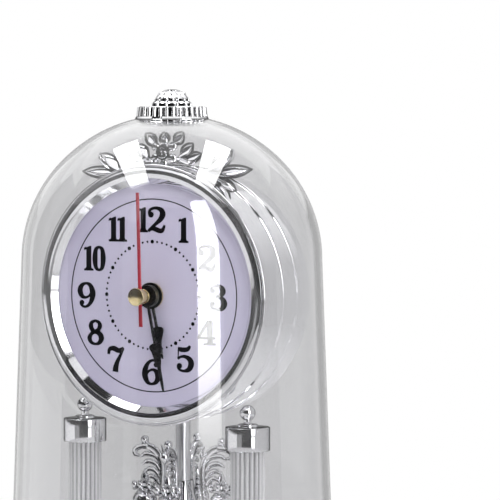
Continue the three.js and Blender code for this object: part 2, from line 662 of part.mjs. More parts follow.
const arborHoles = (y0, y1) => [
  rodOnDial(...thirdAt, ARBOR_R + FIT_GAP, y0, y1),
  rodOnDial(...stepAt, ARBOR_R + FIT_GAP, y0, y1),
  rodOnDial(...minuteAt, SETTING_ARBOR_R + FIT_GAP, y0, y1),
];
add(onDial, 'movement_case', cut(
  join(
    box(-half, half, caseFront, caseBack, -half, half),
    turnedOnDial(rod(bushR, bushFrontY, caseFront + 0.5), 20),
  ),
  box(-inner, inner, roomFront, caseBack + 1, roomLow, inner),
  box(-cellRoomX, cellRoomX, roomFront, caseBack + 1, -inner, cellRoomTop),
  turnedOnDial(rod(hourTubeR + FIT_GAP, bushFrontY - 1, roomFront + 1), 20),
  ...arborHoles(caseFront + 0.4, roomFront + 1),
), blackPlastic);
add(onDial, 'movement_lid', cut(
  box(-inner + FIT_GAP, inner - FIT_GAP, lidFront, caseBack, roomLow + FIT_GAP, inner - FIT_GAP),
  ...arborHoles(lidFront - 1, lidFront + 0.8),
  rodOnDial(...minuteAt, SETTING_ARBOR_R + FIT_GAP, lidFront - 1, caseBack + 1),
  rodOnDial(0, 0, ARBOR_R + FIT_GAP, lidFront - 1, lidFront + 0.8),
  rodOnDial(...rotorAt, ARBOR_R + FIT_GAP, lidFront - 1, lidFront + 0.8),
), blackPlastic);
const nutTube = tube(bushR + FIT_GAP, HAND_BOSS_R - 0.1, dialFrontY - 0.85, dialFrontY - 0.1);
add(onDial, 'dial_nut', turnedOnDial(nutTube, 18), brass);
const cellRoomMiddle = (cellRoomTop - inner) / 2;
const cellY = (roomFront + caseBack) / 2;
add(onDial, 'movement_battery', cell(CELL_R), cellSkin).position.set(0, cellY, cellRoomMiddle);
const boardBox = box(-inner + 2, -inner + 15, lidFront - 3, lidFront - SEAT_GAP, 18, inner - 1);
add(onDial, 'movement_board', boardBox, board);

// Wheels, pinions and arbors are made about their own axis, then set at their place on the dial's group.
const toothed = (teeth, module, phase, n) =>
  plateOnDial(gearOutline(teeth, module, phase), layer(n), layer(n) + WHEEL_T);
const arbor = (r, y0, y1) => turnedOnDial(rod(r, y0, y1), 12);
const gap = (angle, teeth) => degrees(angle + 180) + Math.PI / teeth;
const pivotFront = caseFront + 0.4 + SEAT_GAP;
const pivotBack = lidFront + 0.6;
const tubeHole = (r, y0, y1) => turnedOnDial(rod(r, y0, y1), 14);
const setAt = (mesh, [x, z]) => mesh.position.set(x, 0, z);

const hourY = dialFrontY - HAND_STEP;
const minuteY = hourY - MINUTE_STEP;
const secondY = dialFrontY - SECOND_OUT;
add(onDial, 'hour_wheel', cut(join(
  toothed(HOUR_TEETH, hourModule, degrees(MINUTE_WAY), 0),
  arbor(hourTubeR, hourY - HAND_T, layer(0) + 0.5),
), tubeHole(minuteTubeR + FIT_GAP, hourY - 2, layer(1))), whitePlastic);
add(onDial, 'centre_wheel', cut(join(
  toothed(CANNON_TEETH, minuteModule, degrees(MINUTE_WAY), 1),
  toothed(CENTRE_TEETH, centreModule, degrees(THIRD_WAY), 2),
  arbor(minuteTubeR, minuteY - HAND_T, layer(2) + 0.5),
), tubeHole(SECOND_ARBOR_R + FIT_GAP, minuteY - 2, layer(3))), brass);
setAt(add(onDial, 'minute_wheel', join(
  toothed(MINUTE_PINION_TEETH, hourModule, gap(MINUTE_WAY, MINUTE_PINION_TEETH), 0),
  toothed(MINUTE_TEETH, minuteModule, gap(MINUTE_WAY, MINUTE_TEETH), 1),
  arbor(SETTING_ARBOR_R, pivotFront, caseBack + 1),
), whitePlastic), minuteAt);
setAt(add(onDial, 'third_wheel', join(
  toothed(THIRD_PINION_TEETH, centreModule, gap(THIRD_WAY, THIRD_PINION_TEETH), 2),
  toothed(THIRD_TEETH, thirdModule, gap(THIRD_WAY, THIRD_TEETH), 3),
  arbor(ARBOR_R, pivotFront, pivotBack),
), whitePlastic), thirdAt);
add(onDial, 'second_wheel', join(
  toothed(SECOND_PINION_TEETH, thirdModule, degrees(THIRD_WAY), 3),
  toothed(SECOND_TEETH, stepModule, degrees(STEP_WAY), 4),
  arbor(SECOND_ARBOR_R, secondY - CAP_T, layer(3) + 0.5),
  arbor(SECOND_ARBOR_R, layer(3) + WHEEL_T - 0.1, layer(4) + 0.5),
  arbor(ARBOR_R, layer(4), pivotBack),
), whitePlastic);
setAt(add(onDial, 'intermediate_wheel', join(
  toothed(STEP_PINION_TEETH, stepModule, gap(STEP_WAY, STEP_PINION_TEETH), 4),
  toothed(STEP_TEETH, rotorModule, degrees(ROTOR_WAY), 5),
  arbor(ARBOR_R, pivotFront, pivotBack),
), whitePlastic), stepAt);
const rotorR = 2.6;
const rotorLow = layer(6);
const rotorHigh = rotorLow + 2.2;
setAt(add(onDial, 'stepper_rotor', join(
  toothed(ROTOR_PINION_TEETH, rotorModule, gap(ROTOR_WAY, ROTOR_PINION_TEETH), 5),
  arbor(rotorR, rotorLow, rotorHigh),
  arbor(ARBOR_R, layer(5), pivotBack),
), steel), rotorAt);

// Stator plate around the rotor, reaching up into the coil.
const coilTop = inner - 1;
const coilLow = coilTop - COIL_H;
const statorHalf = rotorDistance - STATOR_CLEAR;
const statorY = rotorLow + 0.6;
add(onDial, 'stepper_coil', join(
  cut(
    box(
      rotorAt[0] - statorHalf,
      rotorAt[0] + statorHalf,
      statorY,
      statorY + 1,
      rotorAt[1] - statorHalf,
      coilLow + 2,
    ),
    rodOnDial(...rotorAt, rotorR + RUN_GAP, statorY - 1, statorY + 2, 20),
  ),
  box(-COIL_REACH, rotorAt[0] + COIL_REACH, statorY - 0.6, statorY + 2.4, coilLow, coilTop),
), copper);

// Setting knob behind the case, on the minute wheel's arbor.
const knobY = caseBack + 0.6;
setAt(add(onDial, 'setting_knob', cut(
  turnedOnDial([[0, knobY], [4.2, knobY], [4.2, knobY + 2.6], [3.6, knobY + 3.2], [0, knobY + 3.2]], 16),
  arbor(SETTING_ARBOR_R + FIT_GAP, knobY - 1, caseBack + 1 + SEAT_GAP),
), blackPlastic), minuteAt);

// Hands. Each is drawn pointing to 12 about the origin, then turned clockwise to its hour.
function spadeHand(length, holeR, y) {
  const [low, high] = [length * 0.5, length * 0.74];
  const halfStem = 0.75;
  const spade = 2.9;
  const outline = [
    [-halfStem, 0],
    [-halfStem * 0.8, low],
    [-spade * 0.7, low + 0.8],
    [-spade, (low * 2 + high) / 3],
    [-spade * 0.5, high - 0.8],
    [-0.7, high + 0.6],
    [-0.2, length],
    [0.2, length],
    [0.7, high + 0.6],
    [spade * 0.5, high - 0.8],
    [spade, (low * 2 + high) / 3],
    [spade * 0.7, low + 0.8],
    [halfStem * 0.8, low],
    [halfStem, 0],
  ];
  const blade = plateOnDial(outline, y - HAND_T / 2, y + HAND_T / 2);
  const boss = new THREE.CylinderGeometry(HAND_BOSS_R, HAND_BOSS_R, HAND_T, 24).translate(0, y, 0);
  const hole = new THREE.CylinderGeometry(holeR, holeR, 3, 16).translate(0, y, 0);
  return cut(join(blade, boss), hole);
}
function addHand(name, shape, material, angle) {
  add(onDial, name, shape, material).rotation.y = degrees(angle);
}
addHand('hour_hand', spadeHand(HOUR_LENGTH, hourTubeR + FIT_GAP / 2, hourY), blackMetal, HOUR_ANGLE);
addHand('minute_hand', spadeHand(MINUTE_LENGTH, minuteTubeR + FIT_GAP / 2, minuteY), blackMetal, MINUTE_ANGLE);
const needle = [[-0.5, -SECOND_TAIL], [-0.4, SECOND_LENGTH], [0.4, SECOND_LENGTH], [0.5, -SECOND_TAIL]];
const secondHole = new THREE.CylinderGeometry(SECOND_ARBOR_R + 0.07, SECOND_ARBOR_R + 0.07, 3, 16);
const secondBoss = new THREE.CylinderGeometry(2, 2, HAND_T, 20).translate(0, secondY, 0);
addHand('second_hand', cut(
  join(plateOnDial(needle, secondY - HAND_T / 2, secondY + HAND_T / 2), secondBoss),
  secondHole.translate(0, secondY, 0),
), redMetal, SECOND_ANGLE);
const capBack = secondY - HAND_T / 2 - SEAT_GAP / 2;
const capFront = secondY - CAP_T - 0.6;
add(onDial, 'second_hand_cap', turnedOnDial([
  [0, capFront],
  [CAP_R - 0.5, capFront],
  [CAP_R, capFront + 0.5],
  [CAP_R, capBack],
  [SECOND_ARBOR_R + FIT_GAP / 2, capBack],
  [SECOND_ARBOR_R + FIT_GAP / 2, secondY - CAP_T - SEAT_GAP],
  [0, secondY - CAP_T - SEAT_GAP],
], 20), brass);

// Dome: straight sides with a little draft, an elliptical top, and a hole for the finial's screw.
const screwHoleR = 1.8;
function domeSide(radius, rise, low) {
  const steps = 7;
  const holeAngle = Math.acos(screwHoleR / radius) * 180 / Math.PI;
  const top = Array.from({ length: steps + 1 }, (_, i) => {
    const angle = degrees(holeAngle * i / steps);
    return [radius * Math.cos(angle), springZ + rise * Math.sin(angle)];
  });
  return [[radius + (springZ - low) * DOME_DRAFT, low], ...top];
}
const domeOuter = domeSide(domeR, domeRise + DOME_WALL, rimZ);
const domeInner = domeSide(domeInnerR, domeRise, rimZ).reverse();
add(group, 'dome_shell', turned(ring([...domeOuter, ...domeInner]), ROUND), clearDome);

// Finial: skirt on the dome, bud above, screw from inside.
const domeHeightAt = (r) => springZ + (domeRise + DOME_WALL) * Math.sqrt(1 - (r / domeR) ** 2);
const skirtLow = domeHeightAt(SKIRT_R) + SEAT_GAP;
const skirtTop = skirtLow + SKIRT_H;
const skirtProfile = ring([
  [screwHoleR, skirtTop - 1.4],
  [screwHoleR, skirtTop],
  [SKIRT_R - 1.9, skirtTop],
  [SKIRT_R - 1.2, skirtTop - 0.6],
  [SKIRT_R - 0.3, skirtLow + 0.6],
  [SKIRT_R, skirtLow],
  [SKIRT_R - 1.2, skirtLow + 0.6],
  [SKIRT_R - 2.6, skirtTop - 1.4],
]);
add(group, 'finial_skirt', turned(skirtProfile, 24), chrome);
const budLow = skirtTop + SEAT_GAP / 2;
const budTop = budLow + BUD_H;
add(group, 'finial_bud', turned([
  [0, budLow + 2.2],
  [screwHoleR, budLow + 2.2],
  [screwHoleR, budLow],
  [BUD_R, budLow],
  [BUD_R * 0.95, budLow + BUD_H * 0.22],
  [BUD_R * 0.76, budLow + BUD_H * 0.5],
  [BUD_R * 0.6, budLow + BUD_H * 0.72],
  [BUD_R * 0.42, budLow + BUD_H * 0.93],
  [BUD_R * 0.2, budTop],
  [0, budTop],
], 18), chrome);
const insideTop = springZ + domeRise * Math.sqrt(1 - (3.6 / domeInnerR) ** 2);
add(group, 'finial_screw', turned([
  [0, insideTop - 1.6],
  [2.4, insideTop - 1.6],
  [3.4, insideTop - 0.9],
  [3.4, insideTop - SEAT_GAP],
  [screwHoleR - FIT_GAP, insideTop - SEAT_GAP],
  [screwHoleR - FIT_GAP, budLow + 2],
  [0, budLow + 2],
], 14), steel);

// Pendulum hub: a turned baluster around the post, with a disc below and the drive tube through the deck.
const hubBore = POST_R + RUN_GAP;
const hubZ = (share) => DECK_Z + pendulumH * share;
const discLow = DECK_Z + 6;
const hubProfile = ring([
  [hubBore, hubZ(0.82)],
  [hubBore, gearLow],
  [tubeR, gearLow],
  [tubeR, discLow],
  [DISC_R - 2, discLow + 0.6],
  ...arc(DISC_R - 1.6, discLow + 2.2, 1.6, -75, 75, 3),
  [DISC_R * 0.5, discLow + 5.4],
  [tubeR + 2, discLow + 8],
  [tubeR + 0.4, hubZ(0.24)],
  [tubeR, hubZ(0.4)],
  [tubeR + 0.6, hubZ(0.45)],
  [tubeR + 2, hubZ(0.465)],
  [tubeR + 2, hubZ(0.485)],
  [tubeR + 0.6, hubZ(0.5)],
  [tubeR + 2.4, hubZ(0.56)],
  ...arc(hubBore + 2.2, hubZ(0.64), BULB_R, -45, 60, 3),
  [hubBore + 2, hubZ(0.735)],
  [hubBore + 1.1, hubZ(0.77)],
  [hubBore + 0.7, hubZ(0.82)],
]);
add(onPost, 'pendulum_hub', turned(hubProfile, 16), chrome);

// One arm in its own plane, x outward: stem with a curled top, leaves off it, a bracket below for the orb.
const hubSide = hubBore + 2.2 + BULB_R + SEAT_GAP;
const leafTop = armTopZ - 3.6;
const leafLow = leafTop - 14;
const stemX = hubSide + 0.9;
const collarZ = leafLow - 0.2;
const orbZ = collarZ - ORB_R - 0.2;
function arm() {
  const bracketZ = orbZ - ORB_R - 1.4;
  const parts = [
    leaf([
      [stemX + 0.3, hubZ(0.6)],
      [stemX - 1, leafLow],
      [stemX - 1.2, leafTop - 6],
      [stemX + 1.4, leafTop - 1.9],
      [ARM_ORB_X - 0.2, leafTop],
      [ARM_REACH - 0.6, leafTop - 1.7],
      [ARM_REACH - 1, leafTop - 3.4],
    ], 2.4, 2.2, 10),
    leaf([[stemX - 0.3, leafTop - 5.4], [stemX + 2.4, leafTop - 3], [ARM_ORB_X + 0.4, leafTop - 3]], 1.5, 1.6, 3),
    leaf([[stemX - 1, leafTop - 8.4], [stemX + 1.6, leafTop - 6], [ARM_ORB_X - 0.6, leafTop - 5.4]], 1.5, 1.6, 3),
    leaf([[stemX - 1, leafTop - 11], [stemX + 0.6, leafTop - 9.2], [stemX + 2.4, leafTop - 8.6]], 1.4, 1.6, 3),
    leaf([
      [stemX + 0.2, hubZ(0.62)],
      [stemX + 1.6, bracketZ - 2.6],
      [ARM_ORB_X - 2, bracketZ - 1.2],
      [ARM_ORB_X, bracketZ + 0.9],
    ], 2.2, 2.2, 5),
    leaf([
      [stemX + 0.2, hubZ(0.64)],
      [stemX + 4.4, hubZ(0.53)],
      [stemX + 2.4, hubZ(0.37)],
      [stemX - 0.9, hubZ(0.25)],
      [stemX + 1.6, hubZ(0.17)],
      [DISC_R - 4, discLow + 5.6],
      [DISC_R - 3, discLow + 6.6],
    ], 2.2, 2.2, 11),
    bead(ARM_ORB_X, leafTop + 2.1, 1.45),
  ];
  return join(...parts);
}
const orbProfile = [
  ...onAxis(arc(0, orbZ, ORB_R, -90, 72, 6)),
  [ORB_R + 0.3, collarZ - 0.5],
  [ORB_R + 0.3, collarZ + 0.3],
  [1.1, collarZ + 0.7],
  [0.9, collarZ + 1.4],
  [1.4, collarZ + 3.2],
  [0.7, collarZ + 5],
  [0, collarZ + 6.8],
];
function orb() {
  const beads = [0, 90, 180, 270].map((angle) => {
    const [x, y] = polar(ORB_R - 0.2, angle);
    return new THREE.OctahedronGeometry(1.3).translate(x, y, collarZ + 1.2);
  });
  return join(turned(orbProfile, 8), ...beads);
}
const armKeepOff = turned([
  [0, discLow],
  [DISC_R, discLow + 3.4],
  [DISC_R * 0.5 + 0.4, discLow + 5.8],
  [tubeR + 2.4, discLow + 8.4],
  [tubeR + 1, hubZ(0.26)],
  [hubSide, hubZ(0.5)],
  [hubSide, hubZ(0.75)],
  [0, hubZ(0.75)],
], 24);
const orbRoom = turned(ball(ORB_R + SEAT_GAP, orbZ, 8), 12).translate(ARM_ORB_X, 0, 0);
const crownRoom = turned(rod(ORB_R + 1.4, collarZ - 0.8, collarZ + 2.8), 16).translate(ARM_ORB_X, 0, 0);
for (let i = 0; i < ARM_COUNT; i += 1) {
  const limb = groupAt(0, 0, 0, onPost);
  limb.rotation.z = degrees(PENDULUM_TURN + 360 * i / ARM_COUNT);
  add(limb, `pendulum_arm_${i + 1}`, cut(arm(), armKeepOff, orbRoom, crownRoom), chrome);
  add(limb, `pendulum_orb_${i + 1}`, orb(), chrome).position.setX(ARM_ORB_X);
}

export default group;
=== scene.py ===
# %% [markdown]
# # A desk clock under a bell jar
# The clock is a chrome drum with a lavender dial. It stands on a thin post between two clear reeded
# columns, with a turning pendulum of leaves below it and a clear dome with a chrome finial over everything.
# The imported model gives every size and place, so this script only adds the fine shapes, the finishes and
# the light.

# %% The frame
import json
import math

import bmesh
import bpy
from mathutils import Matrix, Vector


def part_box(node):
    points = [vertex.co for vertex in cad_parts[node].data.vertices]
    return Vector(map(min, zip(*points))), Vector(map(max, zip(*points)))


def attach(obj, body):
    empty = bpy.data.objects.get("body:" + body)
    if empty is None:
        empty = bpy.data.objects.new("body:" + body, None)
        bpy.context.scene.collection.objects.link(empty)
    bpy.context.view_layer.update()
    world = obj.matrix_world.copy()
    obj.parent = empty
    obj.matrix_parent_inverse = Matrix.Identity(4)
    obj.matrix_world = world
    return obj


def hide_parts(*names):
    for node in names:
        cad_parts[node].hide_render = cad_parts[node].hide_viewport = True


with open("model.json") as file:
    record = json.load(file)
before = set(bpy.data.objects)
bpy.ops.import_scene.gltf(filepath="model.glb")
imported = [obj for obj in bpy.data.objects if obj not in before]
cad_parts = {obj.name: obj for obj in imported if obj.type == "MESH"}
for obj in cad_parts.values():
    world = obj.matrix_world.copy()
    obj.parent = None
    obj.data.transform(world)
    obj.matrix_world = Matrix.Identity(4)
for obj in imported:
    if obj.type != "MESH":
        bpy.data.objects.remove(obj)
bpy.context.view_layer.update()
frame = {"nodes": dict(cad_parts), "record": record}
scene = bpy.context.scene
scene.view_settings.view_transform = "Standard"
MM = 0.001


def span(node):
    """Lowest and highest corner of a node, in millimetres."""
    low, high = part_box(node)
    return low / MM, high / MM


def centre(node):
    low, high = span(node)
    return (low + high) / 2


# %% [markdown]
# ## The camera
# The photograph was taken from the clock's right, a little above the dome's shoulder, with a long lens. One
# millimetre at the dome's axis is three pixels of the picture, so the lens follows from the distance. The
# picture's centre is not on the clock: the camera is turned, not shifted, to put the axis and the horizon
# where the photograph has them.

# %% Camera
PICTURE = 500
SENSOR = 36.0
PIXELS_PER_MM = 3.0
AXIS_X = 172.0
HORIZON_Y = 130.0
AZIMUTH = math.radians(31)
DISTANCE = 1000.0
EYE_HEIGHT = 216.1

focal_pixels = PIXELS_PER_MM * DISTANCE
lens = bpy.data.cameras.new("photo_camera")
lens.sensor_width = SENSOR
lens.lens = focal_pixels * SENSOR / PICTURE
lens.clip_start = 0.05
camera = bpy.data.objects.new("photo_camera", lens)
scene.collection.objects.link(camera)
turn_right = math.atan((PICTURE / 2 - AXIS_X) / focal_pixels)
look_down = math.atan((PICTURE / 2 - HORIZON_Y) / focal_pixels)
camera.location = Vector((DISTANCE * math.sin(AZIMUTH), -DISTANCE * math.cos(AZIMUTH), EYE_HEIGHT)) * MM
camera.rotation_euler = (math.pi / 2 - look_down, 0, AZIMUTH - turn_right)
scene.camera = camera
print("lens", round(lens.lens, 1), "mm")

# %% [markdown]
# ## Making meshes
# Nearly all of this clock is turned on a lathe or swept along a curl, so a few helpers make most of it. A
# shape is a list of points in millimetres and the faces between them. Shapes are joined into a piece that
# rides on a body of the frame. Faces are smooth, and only edges that bend by more than a limit stay sharp.

# %% Meshes and pieces
FINISHES = {}


def mesh_of(name, shapes):
    points, faces = [], []
    for spots, sides in shapes:
        first = len(points)
        points.extend(Vector(spot) * MM for spot in spots)
        faces.extend([first + i for i in side] for side in sides)
    mesh = bpy.data.meshes.new(name)
    mesh.from_pydata(points, [], faces)
    return mesh


def shade(mesh, sharp):
    """Closes seams, turns faces outward and leaves only the edges over the sharp angle hard."""
    work = bmesh.new()
    work.from_mesh(mesh)
    bmesh.ops.remove_doubles(work, verts=work.verts, dist=1e-7)
    bmesh.ops.recalc_face_normals(work, faces=work.faces)
    for face in work.faces:
        face.smooth = True
    for edge in work.edges:
        edge.smooth = len(edge.link_faces) != 2 or edge.calc_face_angle() < math.radians(sharp)
    work.to_mesh(mesh)
    work.free()


def settle(mesh, name, finish, body, nodes, sharp):
    """Makes a mesh a piece of the clock: it gets its finish, rides on its body and hides the nodes it
    replaces.
    """
    shade(mesh, sharp)
    if not mesh.materials:
        mesh.materials.append(FINISHES[finish])
    part = bpy.data.objects.new(name, mesh)
    scene.collection.objects.link(part)
    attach(part, body)
    if nodes:
        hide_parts(*nodes)
    print(name, len(mesh.polygons), "faces")


def piece(name, shapes, finish, body, nodes=(), sharp=32):
    settle(mesh_of(name, shapes), name, finish, body, nodes, sharp)


# %% Profiles and turning
TINY = 1e-6
NEARLY_STRAIGHT = 0.35
CORNER_SHARE = 0.4


def on_circle(k, count, radius=1.0):
    """Point k of count around a circle."""
    return radius * math.cos(math.tau * k / count), radius * math.sin(math.tau * k / count)


def arc(r, z, radius, start, end, steps=10):
    """Points on a circle about (r, z), from one angle to another, in degrees."""
    angles = [math.radians(start + (end - start) * i / steps) for i in range(steps + 1)]
    return [(r + radius * math.cos(a), z + radius * math.sin(a)) for a in angles]


def rectangle(left, right, low, high):
    return [(left, low), (right, low), (right, high), (left, high)]


def softened(corners, radius, steps=4):
    """A closed profile with each corner rounded, so that its edges catch the light as real ones do."""
    soft = []
    for i, corner in enumerate(corners):
        here = Vector(corner)
        back = Vector(corners[i - 1]) - here
        on = Vector(corners[(i + 1) % len(corners)]) - here
        if min(back.length, on.length) < TINY or math.pi - back.angle(on) < NEARLY_STRAIGHT:
            soft.append(tuple(here))
            continue
        reach = min(radius, back.length * CORNER_SHARE, on.length * CORNER_SHARE)
        start, end = here + back.normalized() * reach, here + on.normalized() * reach
        for t in (k / steps for k in range(steps + 1)):
            soft.append(tuple(start * (1 - t) ** 2 + here * (2 * t * (1 - t)) + end * t ** 2))
    return soft


def turned(profile, at=(0, 0, 0), axis="z", steps=96, closed=True):
    """A profile of (radius, along) points turned about an axis through a place."""
    points, rows, faces = [], [], []
    for r, along in profile:
        count = 1 if r < TINY else steps
        rows.append(range(len(points), len(points) + count))
        for k in range(count):
            x, y = on_circle(k, steps, r)
            spot = Vector((x, y, along)) if axis == "z" else Vector((x, along, y))
            points.append(spot + Vector(at))
    pairs = list(zip(rows, rows[1:]))
    if closed:
        pairs.append((rows[-1], rows[0]))
    for low, high in pairs:
        if len(low) == 1 and len(high) == 1:
            continue
        for k in range(steps):
            n = (k + 1) % steps
            ring = [low[k % len(low)], low[n % len(low)], high[n % len(high)], high[k % len(high)]]
            faces.append(list(dict.fromkeys(ring)))
    return points, faces


# %% Sweeping leaves and curls
GROOVE_SPREAD = 0.35
THINNEST = 0.05
THICKEST = 1.3


def smooth_path(points, steps):
    """A smooth line through the points, of any number of values each."""
    ends = [points[0], *points, points[-1]]
    line = []
    for i in range(steps + 1):
        at = i / steps * (len(points) - 1)
        k = min(int(at), len(points) - 2)
        t = at - k
        a, b, c, d = (Vector(ends[k + j]) for j in range(4))
        line.append(0.5 * (2 * b + (c - a) * t + (2 * a - 5 * b + 4 * c - d) * t ** 2
                           + (3 * b - a - 3 * c + d) * t ** 3))
    return line


def sideways(line, i, loop=False):
    """The way across a line at its point i."""
    last = len(line) - 1
    along = line[min(i + 1, last)] - line[max(i - 1, 0)]
    if loop and i in (0, last):
        along = line[1] - line[last - 1]
    return Vector((along.y, -along.x)).normalized()


def tube_faces(rows, sides):
    """Faces between rows of points that are closed rings, with a cap at either end."""
    faces = []
    for first in range(0, (rows - 1) * sides, sides):
        for k in range(sides):
            n = (k + 1) % sides
            faces.append([first + k, first + n, first + sides + n, first + sides + k])
    return faces + [list(range(sides)), list(range((rows - 1) * sides, rows * sides))]


def swept(path, widths, depth, place, steps=20, sides=12, groove=0.0):
    """A rounded leaf along a path in a plane: widths along it, depth across, a groove down its middle."""
    line = smooth_path(path, steps)
    sizes = smooth_path([(w, 0) for w in widths], steps)
    points = []
    for i, here in enumerate(line):
        across = sideways(line, i)
        size = max(sizes[i].x, THINNEST)
        thick = min(depth, size * THICKEST)
        for k in range(sides):
            side, out = on_circle(k, sides)
            dent = 1 - groove * math.exp(-(side / GROOVE_SPREAD) ** 2)
            spot = here + across * (side * size / 2)
            points.append(place(spot.x, spot.y, out * thick / 2 * dent))
    return points, tube_faces(steps + 1, sides)


def ball(at, radius, squash=(1, 1, 1), steps=20):
    """A round bead, which may be flattened along the axes."""
    points, faces = turned(arc(0, 0, radius, -90, 90, 12), steps=steps, closed=False)
    return [point * Vector(squash) + Vector(at) for point in points], faces


# %% [markdown]
# ## Repeating with Geometry Nodes
# Flutes, ribs, petals, beads and the dial's dots all repeat around a circle. One node tree puts a small
# shape on the points of a circle; its inputs are the count and the sizes. The result is turned into a plain
# mesh at once.

# %% Node tree helpers
def feed(tree, socket, value):
    """Sets a socket to a value, or links it to an output or to a node's first output."""
    if isinstance(value, bpy.types.Node):
        value = value.outputs[0]
    if isinstance(value, bpy.types.NodeSocket):
        tree.links.new(value, socket)
    else:
        socket.default_value = value


def add_node(tree, kind, sockets=(), **settings):
    node = tree.nodes.new(kind)
    for name, value in settings.items():
        setattr(node, name, value)
    for name, value in dict(sockets).items():
        feed(tree, node.inputs[name], value)
    return node


def compute(tree, operation, first, second=0.0):
    return add_node(tree, "ShaderNodeMath", {0: first, 1: second}, operation=operation)


def new_tree(name, inputs):
    """A geometry tree with these inputs, and the outputs that give them."""
    tree = bpy.data.node_groups.new(name, "GeometryNodeTree")
    tree.interface.new_socket("Geometry", in_out="OUTPUT", socket_type="NodeSocketGeometry")
    for label, kind in inputs.items():
        tree.interface.new_socket(label, in_out="INPUT", socket_type="NodeSocket" + kind)
    return tree, tree.nodes.new("NodeGroupInput").outputs


def close_tree(tree, geometry, given, turn=(0, 0, 0)):
    """Every tree ends by moving its geometry to its place, realizing instances and setting the material."""
    placed = add_node(tree, "GeometryNodeTransform",
                      {"Geometry": geometry, "Rotation": turn, "Translation": given["Place"]})
    whole = add_node(tree, "GeometryNodeRealizeInstances", {"Geometry": placed})
    painted = add_node(tree, "GeometryNodeSetMaterial", {"Geometry": whole, "Material": given["Finish"]})
    add_node(tree, "NodeGroupOutput", {"Geometry": painted})


def grown(name, tree, values):
    """The plain mesh that a tree makes with these inputs."""
    holder = bpy.data.objects.new(name, bpy.data.meshes.new(name))
    scene.collection.objects.link(holder)
    modifier = holder.modifiers.new("grow", "NODES")
    modifier.node_group = tree
    for socket in tree.interface.items_tree:
        if socket.in_out == "INPUT":
            modifier[socket.identifier] = values[socket.name]
    graph = bpy.context.evaluated_depsgraph_get()
    mesh = bpy.data.meshes.new_from_object(holder.evaluated_get(graph))
    holder.modifiers.remove(modifier)
    bpy.data.objects.remove(holder)
    return mesh


# %% A ring of small shapes
BALL_CUTS = {"Segments": 14, "Rings": 8}
CYLINDER_SIDES = {"bar": 14, "disc": 20}


def shape_node(tree, kind):
    if kind == "ball":
        return add_node(tree, "GeometryNodeMeshUVSphere", {**BALL_CUTS, "Radius": 1.0})
    return add_node(tree, "GeometryNodeMeshCylinder",
                    {"Vertices": CYLINDER_SIDES[kind], "Radius": 1.0, "Depth": 1.0})


def ring_tree(kind):
    tree, given = new_tree("ring_of_" + kind, {
        "Count": "Int", "Ring radius": "Float", "Shape size": "Vector", "Lean": "Float", "Start": "Float",
        "Turn": "Vector", "Place": "Vector", "Finish": "Material"})
    circle = add_node(tree, "GeometryNodeMeshCircle",
                      {"Vertices": given["Count"], "Radius": given["Ring radius"]})
    step = compute(tree, "DIVIDE", math.tau, given["Count"])
    angle = compute(tree, "MULTIPLY", add_node(tree, "GeometryNodeInputIndex"), step)
    way = add_node(tree, "ShaderNodeCombineXYZ", {"Y": given["Lean"], "Z": angle})
    copies = add_node(tree, "GeometryNodeInstanceOnPoints", {
        "Points": circle, "Instance": shape_node(tree, kind), "Scale": given["Shape size"],
        "Rotation": add_node(tree, "FunctionNodeEulerToRotation", {"Euler": way})})
    begin = add_node(tree, "ShaderNodeCombineXYZ", {"Z": given["Start"]})
    begun = add_node(tree, "GeometryNodeTransform", {"Geometry": copies, "Rotation": begin})
    close_tree(tree, begun, given, given["Turn"])
    return tree


RINGS = {kind: ring_tree(kind) for kind in ("ball", "bar", "disc")}


def ring_piece(name, kind, count, radius, size, place, finish, body, nodes=(), sharp=40,
               turn=(0, 0, 0), lean=0.0, start=0.0):
    """A piece of count shapes on a circle, with sizes and place in millimetres."""
    mesh = grown(name, RINGS[kind], {
        "Count": count, "Ring radius": radius * MM, "Shape size": [s * MM for s in size], "Lean": lean,
        "Start": start, "Turn": turn, "Place": [p * MM for p in place], "Finish": FINISHES[finish]})
    settle(mesh, name, finish, body, nodes, sharp)


# %% [markdown]
# ## Finishes
# Each finish is one Principled shader with a little of what real surfaces have: chrome plating has a faint
# unevenness and smudges, moulded plastic a fine grain, printed paper a tooth. Patterns read Object
# coordinates, in metres. Colours are written as they look on a screen, from 0 to 255.

# %% Finish helpers
NOISE_LOW, NOISE_HIGH = 0.3, 0.7


def linear(colour):
    """A screen colour in the values that light works with."""
    return tuple(((v / 255 + 0.055) / 1.055) ** 2.4 if v > 10 else v / 255 / 12.92 for v in colour)


def shader_of(material):
    return material.node_tree.nodes["Principled BSDF"]


def paint(material, socket, value):
    feed(material.node_tree, shader_of(material).inputs[socket], value)


def show_mix(tree, share, first, second):
    """A mix of two shaders is what the surface shows."""
    mix = add_node(tree, "ShaderNodeMixShader", {"Fac": share, 1: first, 2: second})
    feed(tree, tree.nodes["Material Output"].inputs["Surface"], mix)


def new_finish(name, colour, roughness, **sockets):
    material = bpy.data.materials.new(name)
    material.use_nodes = True
    FINISHES[name] = material
    paint(material, "Base Color", (*linear(colour), 1))
    paint(material, "Roughness", roughness)
    for label, value in sockets.items():
        paint(material, label.replace("_", " "), value)
    return material


def grain(material, scale, detail=3.0, stretch=(1, 1, 1)):
    """Noise in Object coordinates, with about scale specks per metre."""
    tree = material.node_tree
    spot = add_node(tree, "ShaderNodeTexCoord").outputs["Object"]
    mapped = add_node(tree, "ShaderNodeMapping", {"Vector": spot, "Scale": stretch})
    return add_node(tree, "ShaderNodeTexNoise", {"Vector": mapped, "Scale": scale, "Detail": detail})


def vary_roughness(material, noise, low, high):
    ranged = add_node(material.node_tree, "ShaderNodeMapRange", {
        "Value": noise, "From Min": NOISE_LOW, "From Max": NOISE_HIGH, "To Min": low, "To Max": high})
    paint(material, "Roughness", ranged)


